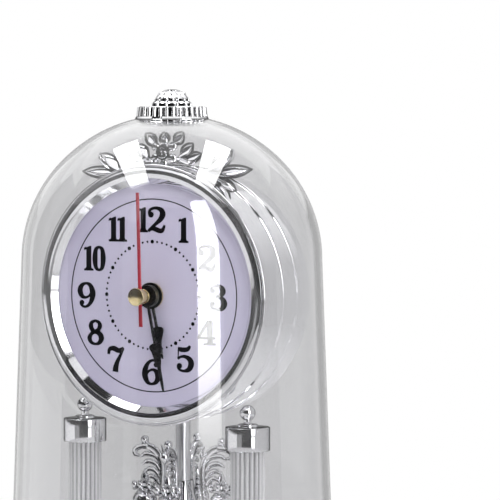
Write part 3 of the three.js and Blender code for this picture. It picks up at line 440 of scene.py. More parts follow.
def vary_colour(material, value, first, second, low=NOISE_LOW, high=NOISE_HIGH):
    mix = add_node(material.node_tree, "ShaderNodeValToRGB", {"Fac": value})
    for stop, position, colour in zip(mix.color_ramp.elements, (low, high), (first, second)):
        stop.position = position
        stop.color = (*linear(colour), 1)
    paint(material, "Base Color", mix)


def add_bump(material, height, strength, distance):
    paint(material, "Normal", add_node(material.node_tree, "ShaderNodeBump", {
        "Height": height, "Strength": strength, "Distance": distance}))


# %% Chrome, steel and brass
def chrome_plate(name, edge, low=0.035, high=0.075, tone=242):
    """Bright plating. An edge below 1 darkens the rims' reflection, a lower tone the recesses: painted shade.
    """
    tint = (edge, edge, edge, 1)
    material = new_finish(name, (tone, tone, tone + 2), low, Metallic=1.0, Specular_Tint=tint)
    vary_roughness(material, grain(material, 90, 4), low, high)
    add_bump(material, grain(material, 160, 2), 0.03, 0.0004)


def bare_metal(name, dark, pale, low, high, stretch=(1, 1, 1)):
    material = new_finish(name, pale, low, Metallic=1.0)
    lines = grain(material, 900, 3, stretch)
    vary_colour(material, lines, dark, pale)
    vary_roughness(material, lines, low, high)
    add_bump(material, lines, 0.06, 0.0002)


chrome_plate("chrome_plate", 1.0)
# Edge 0.1 darkens the reflection towards the rims: painted shade on the castings and the post.
chrome_plate("cast_chrome", 0.1)
chrome_plate("satin_chrome", 0.1, 0.28, 0.34)
# Darker chrome for recesses and the crest's wires: painted shade.
chrome_plate("painted_shade_chrome", 0.1, 0.12, 0.2, 96)
bare_metal("steel_bare", (150, 152, 155), (186, 188, 190), 0.25, 0.4, (1, 1, 12))
bare_metal("brass_trim", (228, 208, 152), (242, 226, 178), 0.06, 0.14)
print("metals made")


# %% Clear acrylic
def clear_acrylic(name, colour, let_through, scale, detail, waves, **sockets):
    """Clear plastic to the eye, and a plain tint to the light of the lamps, which would else stop at it."""
    material = new_finish(name, colour, 0.0, IOR=1.49, **sockets)
    vary_roughness(material, grain(material, 60, 3), 0.0, 0.015)
    add_bump(material, grain(material, scale, detail), waves, 0.0005)
    tree = material.node_tree
    clear = add_node(tree, "ShaderNodeBsdfTransparent", {"Color": (*let_through, 1)})
    shadow = add_node(tree, "ShaderNodeLightPath").outputs["Is Shadow Ray"]
    show_mix(tree, shadow, shader_of(material), clear)
    return material


def darken_valleys(material):
    """Paints shade between the reeds: the colour is darker in the valleys, by the reeds' stored height."""
    height = add_node(material.node_tree, "ShaderNodeAttribute", attribute_name="reed").outputs["Fac"]
    vary_colour(material, height, (196, 196, 198), (254, 254, 255), 0.2, 0.75)


clear_acrylic("dome_clear", (223, 223, 224), (0.86, 0.86, 0.865), 18, 1, 0.02, Transmission_Weight=1.0)
reeded = clear_acrylic("column_clear", (252, 252, 253), (0.9, 0.9, 0.9), 420, 2, 0.35,
                       Transmission_Weight=0.3, Specular_IOR_Level=1.0, Coat_Weight=1.0, Coat_IOR=1.9)
# Painted shade in the valleys between the reeds.
darken_valleys(reeded)
print("clear acrylics made")


# %% Paper, paint, plastic and rubber
def plain_finish(name, first, second, low, high, scale, bump, **sockets):
    """A surface with two close colours, a varying gloss and a fine tooth."""
    material = new_finish(name, second, low, **sockets)
    tooth = grain(material, scale, 4)
    vary_colour(material, grain(material, scale / 12, 3), first, second)
    vary_roughness(material, tooth, low, high)
    add_bump(material, tooth, bump, 0.0002)


plain_finish("dial_paper", (229, 224, 249), (232, 227, 251), 0.5, 0.62, 2600, 0.05)
plain_finish("dial_ink", (10, 9, 14), (17, 15, 22), 0.38, 0.5, 2600, 0.05, Specular_IOR_Level=0.15)
plain_finish("hand_black", (12, 12, 14), (22, 22, 25), 0.22, 0.36, 900, 0.05, Specular_IOR_Level=0.3)
plain_finish("hand_red", (172, 24, 45), (188, 32, 57), 0.3, 0.42, 900, 0.05, Coat_Weight=0.3)
plain_finish("plastic_black", (30, 30, 32), (42, 42, 45), 0.42, 0.6, 2200, 0.2)
plain_finish("plastic_white", (222, 220, 212), (232, 231, 224), 0.38, 0.55, 1500, 0.08)
plain_finish("rubber_feet", (36, 36, 37), (50, 50, 51), 0.75, 0.92, 1800, 0.25)
plain_finish("cell_skin", (66, 74, 88), (80, 88, 102), 0.28, 0.42, 700, 0.04, Coat_Weight=0.3)
plain_finish("board_green", (34, 84, 52), (52, 108, 66), 0.35, 0.55, 1400, 0.1)
plain_finish("coil_copper", (150, 82, 44), (196, 116, 66), 0.25, 0.42, 1600, 0.25, Metallic=0.8)
for row in frame["record"]["subparts"]:
    node = frame["nodes"][row["node"]]
    node.data.materials.clear()
    node.data.materials.append(FINISHES[row["material_slot"]])
print(len(FINISHES), "finishes, on the frame's nodes too")

# %% [markdown]
# ## The dome
# The bell jar is one moulded wall of clear acrylic: a slightly widening tube with a rounded top. It is
# turned from one closed profile, outside up and inside down, so that the render shows both surfaces of the
# wall. The rim's edges are kept hard, so that the long wall above them shades straight.

# %% Dome shell
dial_low, dial_high = span("dial_plate")
DIAL_Z = centre("dial_plate").z
DIAL_FRONT = dial_low.y
dome_low, dome_high = span("dome_shell")
DOME_WALL = 2.0
DOME_DRAFT = 0.0367
DOME_HOLE_R = 1.8
RIM_CHAMFER = 0.5
SPRING_UP = 11.7
SPRING_Z = DIAL_Z + SPRING_UP
RIM_R = (dome_high.x - dome_low.x) / 2
RIM_Z = dome_low.z
dome_r = RIM_R - (SPRING_Z - RIM_Z) * DOME_DRAFT
dome_rise = dome_high.z - SPRING_Z


def dome_side(radius, rise, steps=30):
    """One face of the dome's wall, from the rim up to the hole."""
    top = math.acos(DOME_HOLE_R / radius)
    angles = [top * i / steps for i in range(steps + 1)]
    curve = [(radius * math.cos(a), SPRING_Z + rise * math.sin(a)) for a in angles]
    heights = (RIM_Z + RIM_CHAMFER, (RIM_Z + SPRING_Z) / 2)
    return [(radius + (SPRING_Z - z) * DOME_DRAFT, z) for z in heights] + curve


outside = dome_side(dome_r, dome_rise)
inside = dome_side(dome_r - DOME_WALL, dome_rise - DOME_WALL)
dome_rim = [(inside[0][0] + RIM_CHAMFER, RIM_Z), (outside[0][0] - RIM_CHAMFER, RIM_Z)]
dome_wall = turned(outside + inside[::-1] + dome_rim, steps=160)
piece("dome_wall", [dome_wall], "dome_clear", "dome", ["dome_shell"], sharp=40)

# %% [markdown]
# ## The finial
# A chrome skirt with upright flutes sits on the dome, and on it a bud. The bud is a turned shell whose
# sides are creased into petals. Bands of darker chrome, painted shade, lie in its two recesses, with ribs in
# front of them, and in the skirt's slots between the flutes. A ring of tips stands near its top. Flutes,
# ribs and tips come from the ring tree.

# %% Finial skirt
FLUTES = 32
SKIRT_T = 1.4
CROWN_INSET = 2.6
skirt_low, skirt_high = span("finial_skirt")
SKIRT_R = skirt_high.x
hem_z, crown_z = skirt_low.z, skirt_high.z
pitch = math.tau * SKIRT_R / FLUTES
slot_r = SKIRT_R - 1.5
lip_z = SPRING_Z + dome_rise * math.sqrt(1 - (SKIRT_R / dome_r) ** 2)
skirt_core = [
    (DOME_HOLE_R, crown_z - SKIRT_T), (DOME_HOLE_R, crown_z), (SKIRT_R - CROWN_INSET, crown_z),
    *arc(SKIRT_R - 1.75, crown_z - 0.3, 0.3, 90, -30, 5), (slot_r, crown_z - 0.5),
    (slot_r + 0.35, hem_z + 0.75), (SKIRT_R - 0.35, hem_z + 0.45), (SKIRT_R, lip_z + 0.05),
    (SKIRT_R - 0.3, lip_z), (SKIRT_R - 1.2, hem_z + 0.4), (SKIRT_R - CROWN_INSET, crown_z - SKIRT_T)]
piece("finial_skirt_core", [turned(skirt_core)], "cast_chrome", "dome", ["finial_skirt"])
# A liner of darker chrome in the slots between the flutes: painted shade.
skirt_shade_liner = softened([(slot_r - 0.3, hem_z + 0.8), (slot_r + 0.5, hem_z + 0.8),
                         (slot_r + 0.15, crown_z - 0.35), (slot_r - 0.3, crown_z - 0.35)], 0.1)
piece("finial_skirt_shade", [turned(skirt_shade_liner)], "painted_shade_chrome", "dome", ["finial_skirt"])
flute = (pitch * 0.24, pitch * 0.27, crown_z - hem_z - 0.7)
ring_piece("finial_flutes", "bar", FLUTES, SKIRT_R - 1.15, flute, (0, 0, (hem_z + crown_z) / 2 + 0.1),
           "cast_chrome", "dome", ["finial_skirt"], lean=-0.12)

# %% Finial bud
BUD_PETALS = 11
BUD_GROOVE = 0.09
BUD_SOCKET = 2.2
BUD_TIERS = [(0.93, 0.0), (0.93, 0.15), (1.0, 0.18), (0.97, 0.22), (0.86, 0.33), (0.81, 0.34), (0.81, 0.42),
             (0.84, 0.45), (0.8, 0.55), (0.69, 0.7), (0.58, 0.82), (0.52, 0.86), (0.42, 0.9), (0.4, 0.95),
             (0.22, 0.99), (0, 1.0)]
RECESSES = [(0.95, 0.0, 0.15), (0.83, 0.345, 0.41)]
RECESS_DEPTH = 0.2
bud_low, bud_high = span("finial_bud")
BUD_R = bud_high.x
bud_h = bud_high.z - bud_low.z
first_petal = AZIMUTH - math.pi / 2


def bud_profile(shares):
    """Points given as shares of the bud's radius and height."""
    return [(BUD_R * out, bud_low.z + bud_h * up) for out, up in shares]


socket_z = bud_low.z + BUD_SOCKET
bud_core = [(0, socket_z), (DOME_HOLE_R, socket_z), (DOME_HOLE_R, bud_low.z), *bud_profile(BUD_TIERS)]
bud_points, bud_faces = turned(bud_core, steps=BUD_PETALS * 16, closed=False)
for spot in bud_points:
    if math.hypot(spot.x, spot.y) > DOME_HOLE_R + 0.3:
        crease = abs(math.cos((math.atan2(spot.x, -spot.y) - AZIMUTH) * BUD_PETALS / 2)) ** 0.5
        spot.xy *= 1 - BUD_GROOVE * (1 - crease)
for tier, (share, low, high) in enumerate(RECESSES, 1):
    # A band of darker chrome in each recess: painted shade.
    bud_shade_band = bud_profile(rectangle(share - RECESS_DEPTH, share, low, high))
    piece(f"finial_bud_shade_{tier}", [turned(bud_shade_band)], "painted_shade_chrome", "dome", ["finial_bud"])
    ring_piece(f"finial_ribs_{tier}", "bar", BUD_PETALS, BUD_R * share, (0.5, 0.5, (high - low) * bud_h),
               (0, 0, bud_low.z + bud_h * (low + high) / 2), "cast_chrome", "dome", ["finial_bud"],
               start=first_petal + math.pi / BUD_PETALS)
ring_piece("finial_tips", "ball", BUD_PETALS, BUD_R * 0.6, (0.85, 0.9, 1.0),
           (0, 0, bud_low.z + bud_h * 0.68), "cast_chrome", "dome", ["finial_bud"], start=first_petal)
piece("finial_bud_petals", [(bud_points, bud_faces)], "cast_chrome", "dome", ["finial_bud"], sharp=35)

# %% [markdown]
# ## Drum and bezel
# The drum is a plain chrome can with two raised lines around it, open behind. The bezel in front of it has
# a funnel around the dial, a band that leans inward at first and then rounds off outward, and a thin lip.

# %% Drum case
RIDGE_H = 0.5
RIDGE_REACH = 0.75
DRUM_WALL = 2.0
DRUM_PLATE = 1.5
DRUM_EDGE_R = 0.6
BUSH_HOLE_R = 3.35
drum_low, drum_high = span("drum_case")
DRUM_R = drum_high.x - RIDGE_H
DRUM_FRONT, DRUM_BACK = drum_low.y, drum_high.y


def dial_turned(profile, steps, closed=True):
    """A profile of (radius, y) points turned about the dial's axis."""
    return turned(profile, (0, 0, DIAL_Z), "y", steps, closed)


ridges = []
for share in (0.39, 0.7):
    y = DRUM_FRONT + (DRUM_BACK - DRUM_FRONT) * share
    ridges += [(DRUM_R, y - RIDGE_REACH), *arc(DRUM_R - 0.1, y, 0.58, -60, 60, 6), (DRUM_R, y + RIDGE_REACH)]
drum_profile = [
    (BUSH_HOLE_R, DRUM_FRONT + DRUM_PLATE), (BUSH_HOLE_R, DRUM_FRONT), (DRUM_R - 0.3, DRUM_FRONT),
    (DRUM_R, DRUM_FRONT + 0.3), *ridges,
    *arc(DRUM_R - DRUM_EDGE_R, DRUM_BACK - DRUM_EDGE_R, DRUM_EDGE_R, 0, 90, 5),
    *arc(DRUM_R - DRUM_WALL + DRUM_EDGE_R, DRUM_BACK - DRUM_EDGE_R, DRUM_EDGE_R, 90, 180, 5),
    (DRUM_R - DRUM_WALL, DRUM_FRONT + DRUM_PLATE)]
piece("drum_can", [dial_turned(drum_profile, 160)], "chrome_plate", "stand", ["drum_case"])

# %% Bezel
BEZEL_WIDTH = 6.5
FUNNEL = 1.9
BAND_ARC_R = 2.8
LIP_R = 0.42
SEAT = 2.2
bezel_low, bezel_high = span("bezel")
BEZEL_R = bezel_high.x
BEZEL_BACK, BEZEL_FRONT = bezel_high.y, bezel_low.y
OPEN_R = BEZEL_R - BEZEL_WIDTH
funnel_r = OPEN_R + FUNNEL
over_dial = DIAL_FRONT - 0.1
bezel_profile = [
    (OPEN_R, over_dial), (OPEN_R + 0.1, BEZEL_FRONT + 0.2 + FUNNEL), (funnel_r, BEZEL_FRONT + 0.22),
    *arc(funnel_r + 0.24, BEZEL_FRONT + 0.4, 0.26, 225, 264, 5),
    *arc(funnel_r + 1.75, BEZEL_FRONT + BAND_ARC_R, BAND_ARC_R, 264, 305, 14),
    (funnel_r + 3.55, BEZEL_FRONT + 0.95), *arc(BEZEL_R - LIP_R, BEZEL_FRONT + 1.15, LIP_R, 200, 360, 10),
    (BEZEL_R, BEZEL_BACK), (OPEN_R + SEAT, BEZEL_BACK), (OPEN_R + SEAT, over_dial)]
piece("bezel_ring", [dial_turned(bezel_profile, 200)], "chrome_plate", "stand", ["bezel"], sharp=28)

# %% [markdown]
# ## The dial and its print
# The dial is a lavender card. Its numerals have thick and thin strokes with round ends, and no font here
# has them, so each figure is drawn as a few strokes whose width changes along the way. The print is a film
# of ink on the card.

# %% Dial card, ring and dots
INK_T = 0.03
INK_GAP = 0.001
INK_SPREAD = 0.05
RING_R = 31.8
RING_HALF = 0.2
DOT_RING_R = 17.8
UPRIGHT = (math.pi / 2, 0, 0)
card_profile = softened(rectangle(BUSH_HOLE_R, OPEN_R + 1.8, DIAL_FRONT, dial_high.y), 0.1)
piece("dial_card", [dial_turned(card_profile, 160)], "dial_paper", "stand", ["dial_plate"])
ring_line = rectangle(RING_R - RING_HALF, RING_R + RING_HALF, DIAL_FRONT - INK_T, DIAL_FRONT)
piece("dial_ring_line", [dial_turned(ring_line, 200)], "dial_ink", "stand")
for name, count, size in (("dial_dots_minutes", 60, 0.38), ("dial_dots_hours", 12, 0.66)):
    ring_piece(name, "disc", count, DOT_RING_R, (size, size, 2 * INK_T), (0, DIAL_FRONT, DIAL_Z), "dial_ink",
               "stand", sharp=30, turn=UPRIGHT)


# %% Strokes of the numerals
def film(outline, faces):
    """A flat outline of (x, z) points, given the ink's thickness in front of the card."""
    count = len(outline)
    points = [(x, DIAL_FRONT - out, z) for out in (INK_T, INK_GAP) for x, z in outline]
    edges = dict.fromkeys(edge for face in faces for edge in zip(face, face[1:] + face[:1]))
    walls = [[a, b, b + count, a + count] for a, b in edges if (b, a) not in edges]
    return points, faces + [[i + count for i in face[::-1]] for face in faces] + walls


def stroke(path, widths, move, loop=False, steps=36):
    """A ribbon along a smooth path, as wide as the pen was there."""
    if loop:
        path, widths = path + path[:1], widths + widths[:1]
    line = smooth_path(path, steps)
    sizes = smooth_path([(w, 0) for w in widths], steps)
    outline = []
    for i, here in enumerate(line):
        across = sideways(line, i, loop) * (sizes[i].x + INK_SPREAD) / 2
        outline += [move(here + across), move(here - across)]
    return film(outline, [[2 * i, 2 * i + 1, 2 * i + 3, 2 * i + 2] for i in range(steps)])


def slab(corners, move):
    return film([move(Vector(c)) for c in corners], [list(range(len(corners)))])


def blot(x, y, radius, move, sides=24):
    return slab([Vector((x, y)) + Vector(on_circle(k, sides, radius)) for k in range(sides)], move)


# %% The ten figures
SIX_W = .78
SIX = [
    ("stroke",
     [(.66, .83), (.56, .94), (.42, .97), (.25, .86), (.13, .62), (.11, .36), (.22, .1), (.40, .025),
      (.59, .11), (.67, .32), (.59, .53), (.43, .6), (.27, .53), (.2, .42)],
     [.05, .06, .06, .10, .17, .2, .13, .06, .13, .19, .14, .06, .05, .04]),
    ("blot", .59, .80, .105)]
FIGURES = {
    "0": (.57, [
        ("loop",
         [(.285, .96), (.42, .86), (.465, .5), (.42, .14), (.285, .04), (.15, .14), (.105, .5), (.15, .86)],
         [.06, .12, .18, .12, .06, .12, .18, .12])]),
    "1": (.4, [
        ("slab", [(.1, .03), (.325, .03), (.325, 1), (.25, 1), (.1, .93)]),
        ("slab", [(0, 0), (.42, 0), (.42, .08), (.35, .1), (.325, .16), (.1, .16), (.075, .1), (0, .08)]),
        ("slab", [(.1, .97), (.0, .92), (.0, .82), (.1, .85)])]),
    "2": (.8, [
        ("stroke",
         [(.085, .72), (.12, .88), (.28, .965), (.47, .96), (.63, .86), (.66, .70), (.57, .53), (.4, .37),
          (.2, .2), (.06, .04)],
         [.05, .07, .07, .10, .17, .2, .16, .10, .07, .06]),
        ("blot", .165, .71, .12),
        ("stroke",
         [(.05, .07), (.2, .155), (.36, .135), (.52, .075), (.65, .09), (.75, .3)],
         [.05, .12, .15, .15, .12, .04])]),
    "3": (.76, [
        ("stroke",
         [(.09, .77), (.16, .9), (.34, .97), (.53, .9), (.60, .75), (.51, .59), (.3, .53)],
         [.05, .06, .07, .14, .19, .13, .05]),
        ("stroke",
         [(.3, .53), (.54, .48), (.66, .28), (.57, .09), (.36, .025), (.16, .08), (.08, .22)],
         [.05, .13, .2, .16, .07, .06, .05]),
        ("blot", .17, .76, .11), ("blot", .165, .24, .12)]),
    "4": (.8, [
        ("slab", [(.5, 1), (.4, .98), (.0, .36), (.0, .24), (.13, .34), (.5, .86)]),
        ("slab", [(.0, .23), (.75, .23), (.75, .34), (.06, .34)]),
        ("slab", [(.4, .05), (.63, .05), (.63, 1), (.5, 1), (.4, .86)]),
        ("slab", [(.25, 0), (.77, 0), (.77, .08), (.63, .11), (.4, .11), (.25, .08)])]),
    "5": (.76, [
        ("slab", [(.085, .5), (.135, .55), (.16, .96), (.1, .96)]),
        ("stroke", [(.1, .9), (.3, .865), (.5, .89), (.62, 1.03)], [.11, .14, .13, .05]),
        ("stroke",
         [(.09, .50), (.25, .59), (.43, .59), (.61, .48), (.66, .30), (.57, .10), (.37, .025), (.18, .07),
          (.09, .2)],
         [.05, .06, .10, .17, .2, .16, .07, .06, .06]),
        ("blot", .165, .22, .115)]),
    "6": (SIX_W, SIX),
    "7": (.76, [
        ("stroke", [(.05, .7), (.1, .9), (.28, .94), (.5, .86), (.71, .98)], [.06, .11, .16, .15, .06]),
        ("stroke", [(.7, .97), (.57, .68), (.44, .42), (.37, .2), (.345, 0)], [.06, .08, .13, .18, .2])]),
    "8": (.76, [
        ("loop",
         [(.38, .97), (.53, .9), (.58, .76), (.5, .6), (.34, .52), (.23, .62), (.18, .76), (.23, .9)],
         [.06, .10, .14, .12, .14, .14, .15, .10]),
        ("loop",
         [(.38, .53), (.56, .45), (.64, .27), (.55, .09), (.38, .03), (.2, .09), (.12, .27), (.22, .45)],
         [.12, .16, .19, .12, .06, .10, .15, .10])]),
    "9": (SIX_W, [("turn", SIX)]),
}


# %% Numerals on the dial
FIGURE_H = 8.3
FIGURE_W = 9.0
NUMERAL_R = 25.3
KERN = -0.02
NUDGE = {1: (-0.8, -0.2), 2: (-1.2, 0.1), 3: (-0.6, 0), 4: (-1.1, 1.1), 5: (-0.4, 1.4), 6: (-0.4, 0),
         7: (-1.5, 0.3), 8: (-0.4, -0.2), 9: (-0.6, -0.5), 10: (-0.6, -0.8), 11: (-0.8, -0.2),
         12: (-0.1, -0.35)}


def figure_shapes(parts, move):
    shapes = []
    for kind, *values in parts:
        if kind == "turn":
            shapes += figure_shapes(values[0], lambda p: move(Vector((SIX_W - p.x, 1 - p.y))))
        elif kind == "blot":
            shapes.append(blot(*values, move))
        elif kind == "slab":
            shapes.append(slab(*values, move))
        else:
            shapes.append(stroke(*values, move, loop=kind == "loop"))
    return shapes


def numeral(hour):
    text = str(hour)
    width = sum(FIGURES[c][0] for c in text) + KERN * (len(text) - 1)
    right, up = NUDGE[hour]
    angle = math.tau * hour / 12
    left = NUMERAL_R * math.sin(angle) + right - width * FIGURE_W / 2
    low = DIAL_Z + NUMERAL_R * math.cos(angle) + up - FIGURE_H / 2
    shapes = []
    for c in text:
        shapes += figure_shapes(FIGURES[c][1], lambda p: (left + p.x * FIGURE_W, low + p.y * FIGURE_H))
        left += (FIGURES[c][0] + KERN) * FIGURE_W
    return shapes


numerals = [shape for hour in range(1, 13) for shape in numeral(hour)]
piece("dial_numerals", numerals, "dial_ink", "stand", sharp=30)

# %% [markdown]
# ## Hands
# Two black spade hands and a red needle are stamped from sheet metal, one above the other on brass tubes.
# Each is an outline drawn towards 12, given its thickness with a small bevel, and then turned to its place
# on the frame.

# %% Hand shapes
HAND_T = 0.5
HAND_BEVEL = 0.12
BOSS_R = 4.4
TIP_SHARE = 0.985


def hand_angle(node):
    """Where the CAD hand points, clockwise from 12, and how far, from the middle of its tip."""
    spots = [Vector((v.co.x / MM, v.co.z / MM - DIAL_Z)) for v in frame["nodes"][node].data.vertices]
    reach = max(spot.length for spot in spots)
    tip = sum((spot for spot in spots if spot.length > reach * TIP_SHARE), Vector((0, 0)))
    return math.atan2(tip.x, tip.y), reach


def stamped(outline, y, angle):
    """A flat outline in (side, towards 12) points, bevelled and turned clockwise about the dial's axis."""
    half = HAND_T / 2
    shrunk = []
    for i, spot in enumerate(outline):
        way = (Vector(outline[(i + 1) % len(outline)]) - Vector(outline[i - 1])).normalized()
        shrunk.append(Vector(spot) + Vector((-way.y, way.x)) * HAND_BEVEL)
    rows = ((shrunk, -half), (outline, HAND_BEVEL - half), (outline, half))
    cos, sin = math.cos(angle), math.sin(angle)
    points = [(x * cos + z * sin, y + out, DIAL_Z - x * sin + z * cos) for row, out in rows for x, z in row]
    return points, tube_faces(len(rows), len(outline))


def spade(length):
    """Right half and mirrored left half of a spade hand: stem, shoulders, belly, point."""
    low, high = length * 0.5, length * 0.73
    half = smooth_path([
        (0.5, BOSS_R - 1.2), (0.48, low - 1.2), (0.6, low - 0.2), (1.9, low + 0.25), (2.35, low + 1.3),
        (1.75, low + 2.8), (0.95, high - 0.4), (0.62, high + 0.9), (0.5, length - 3), (0.25, length)], 54)
    return [(p.x, p.y) for p in half] + [(-p.x, p.y) for p in reversed(half)]


def boss_ring(y, inner, outer, front, back, soft=HAND_BEVEL):
    """A flat ring on the dial's axis, with soft edges."""
    return dial_turned(softened(rectangle(inner, outer, y - front, y + back), soft), 64)


# %% Hands in place
HOUR_BUSH_R = 3.55
MINUTE_BUSH_R = 2.35
HANDS = [("hour", (HOUR_BUSH_R, BOSS_R, 0.4, 0.25), (2.44, HOUR_BUSH_R, 0.35, 0.25), "steel_bare"),
         ("minute", (MINUTE_BUSH_R, 3.6, 0.35, 0.45), (1.64, MINUTE_BUSH_R, 2.2, 1.6, 0.3), "brass_trim")]
for name, boss, bush, metal in HANDS:
    node = name + "_hand"
    hand_y = centre(node).y
    angle, reach = hand_angle(node)
    blade = [stamped(spade(reach), hand_y, angle), boss_ring(hand_y, *boss)]
    piece(node + "_blade", blade, "hand_black", name + "s", [node])
    piece(node + "_bush", [boss_ring(hand_y, *bush)], metal, name + "s", [node])

low, high = span("second_hand")
SECOND_Y = centre("second_hand").y
up, down = high.z - DIAL_Z, low.z - DIAL_Z
needle_outline = [(0.62, down), (0.52, up), (-0.52, up), (-0.62, down)]
needle = stamped(needle_outline, SECOND_Y, hand_angle("second_hand")[0])
piece("second_hand_needle", [needle], "hand_red", "seconds", ["second_hand"])
needle_hub = boss_ring(SECOND_Y, 0.87, 2.3, 0.28, 1.2, 0.2)
piece("second_hand_hub", [needle_hub], "brass_trim", "seconds", ["second_hand"])

CAP_SAG = 0.15
CAP_EDGE = 0.12
CAP_BORE = 0.88
cap_low, cap_high = span("second_hand_cap")
CAP_R = cap_high.x
cap_face = (CAP_R ** 2 + CAP_SAG ** 2) / (2 * CAP_SAG)
face_edge = math.degrees(math.asin((CAP_R - 0.1) / cap_face))
cap = [*((max(r, 0), y) for r, y in arc(0, cap_low.y + cap_face, cap_face, 270, 270 + face_edge, 8)),
       *arc(CAP_R - CAP_EDGE, cap_low.y + CAP_SAG + CAP_EDGE, CAP_EDGE, 300, 360, 4),
       (CAP_R - 0.35, cap_high.y), (CAP_BORE, cap_high.y), (CAP_BORE, cap_low.y + 0.6), (0, cap_low.y + 0.6)]
button = dial_turned(cap, 64, closed=False)
piece("second_hand_button", [button], "brass_trim", "seconds", ["second_hand_cap"])

# %% [markdown]
# ## The crest
# On top of the drum lies a cast ornament: a small flower with a ring of petals, outlined leaves around it,
# and at either end a scroll. An outlined leaf is a wire around a bright blade that leans back; the wires,
# the flower's rim and its two beads are darker chrome, which is painted shade. The scroll's leaves are swept
# along smooth paths with a groove down the middle, as pressed metal leaves have. The leaves at the sides
# are drawn for one side and mirrored for the other.

# %% Crest leaves
BLADE_LEAN = 0.55
WIRE = 0.75
crest_low, crest_high = span("crest")
CREST_Y = centre("crest").y
CREST_T = (crest_high.y - crest_low.y) * 0.6


def on_crest(x, z, out):
    return Vector((x, CREST_Y + out, DIAL_Z + z))


def mirrored(path):
    return [(-x, z) for x, z in path]


def looped_leaf(base, tip, width):
    """An outlined leaf: a wire on both sides from the base to the tip, and inside a blade that leans back."""
    base, tip = Vector(base), Vector(tip)
    along = tip - base
    side = Vector((along.y, -along.x)).normalized() * width / 2

    def on_blade(x, z, out):
        return on_crest(x, z, out + BLADE_LEAN * (z - (base.y + tip.y) / 2))

    wires = []
    for s in (1, -1):
        way = [base, base + along * 0.35 + side * s, base + along * 0.72 + side * s * 0.85, tip]
        wires.append(swept(way, [WIRE, WIRE * 1.1, WIRE, WIRE * 0.8], WIRE * 1.6, on_crest, 14, 8))
    middle = [base, base + along * 0.45, base + along * 0.85]
    return wires, swept(middle, [0.8, width * 0.8, 0.5], 0.4, on_blade, 12, 12)


EARS = [((-3.2, 49.6), (-7.4, 53.5), 3.6), ((0.4, 49.8), (-0.5, 53.8), 3.5), ((3.8, 49.8), (7.2, 53.5), 3.6)]
SIDE_LEAVES = [((6.2, 45.6), (10.9, 49.9), 3.5), ((8.4, 44.4), (14.0, 46.5), 3.0),
               ((17.2, 41.2), (25.6, 47.2), 4.2), ((18.6, 40.2), (32.8, 41.2), 3.6),
               ((19.6, 38.6), (27.2, 34.4), 3.2)]
SCROLL_LEAVES = [
    ([(2.5, 44.2), (6.5, 44.6), (10, 43.6), (12.8, 45.2)], [1.0, 2.2, 2.0, 0.5], 0.45),
    ([(1.0, 42.9), (8, 42.6), (15, 40.6), (21, 38.0), (25, 35.6)], [1.2, 1.5, 1.5, 1.4, 0.6], 0.2),
    ([(11, 42.3), (17, 41.4), (22, 42.6), (25.2, 45.0), (25.8, 47.6)], [0.8, 1.6, 1.8, 1.5, 0.4], 0.45),
    ([(14, 40.9), (21, 39.7), (27, 40.0), (32, 41.3)], [0.8, 1.6, 1.4, 0.3], 0.45)]
outlines, blades = [], []
for *ends, width in EARS + SIDE_LEAVES + [(*mirrored(leaf[:2]), leaf[2]) for leaf in SIDE_LEAVES]:
    wires, blade = looped_leaf(*ends, width)
    outlines += wires
    blades.append(blade)
leaves = [swept(way, widths, CREST_T, on_crest, groove=groove)
          for path, widths, groove in SCROLL_LEAVES for way in (path, mirrored(path))]
piece("crest_leaves", leaves, "cast_chrome", "stand", ["crest"], sharp=60)

# %% Crest flower
FLOWER_R = 2.1
PETALS = 6
flower_z = DIAL_Z + DRUM_R + 5.1
flower_rim = [(FLOWER_R + r, y) for r, y in arc(0, CREST_Y - 1.4, 0.42, 0, 330, 11)]
outlines.append(turned(flower_rim, (0, 0, flower_z), "y", 40))
for x in (-0.75, 0.75):
    outlines.append(ball((x, CREST_Y - 2.3, flower_z), 0.42, (1, 1, 2.6), steps=12))
boss_points, boss_faces = ball((0, CREST_Y - 0.9, flower_z), FLOWER_R, (1, 0.45, 1))
for spot in boss_points:
    spot.y += BLADE_LEAN * (spot.z - flower_z)
blades.append((boss_points, boss_faces))
# The wires, the flower's rim and its beads are darker chrome: painted shade.
piece("crest_outlines", outlines, "painted_shade_chrome", "stand", ["crest"], sharp=60)
piece("crest_blades", blades, "chrome_plate", "stand", ["crest"], sharp=60)
ring_piece("crest_petals", "ball", PETALS, FLOWER_R + 1.75, (1.8, 1.6, 1.0), (0, CREST_Y - 0.5, flower_z),
           "chrome_plate", "stand", ["crest"], sharp=50, turn=UPRIGHT, lean=0.25, start=0.5)

# %% [markdown]
# ## Columns
# Two clear acrylic rods with twenty rounded reeds stand at the sides, in plain chrome feet and caps with a
# ball on top. The reeds follow a rule: the rod's radius dips between them. A node tree moves the points of
# a fine cylinder by that rule, with the number and depth of the reeds as inputs. It also stores the reeds'
# height, by which the finish paints shade into the valleys.

# %% Reeded rods
REEDS = 20
REED_DEPTH = 1.0
REED_POINTS = 14
REED_ROUND = 0.8
TENON = 3.0


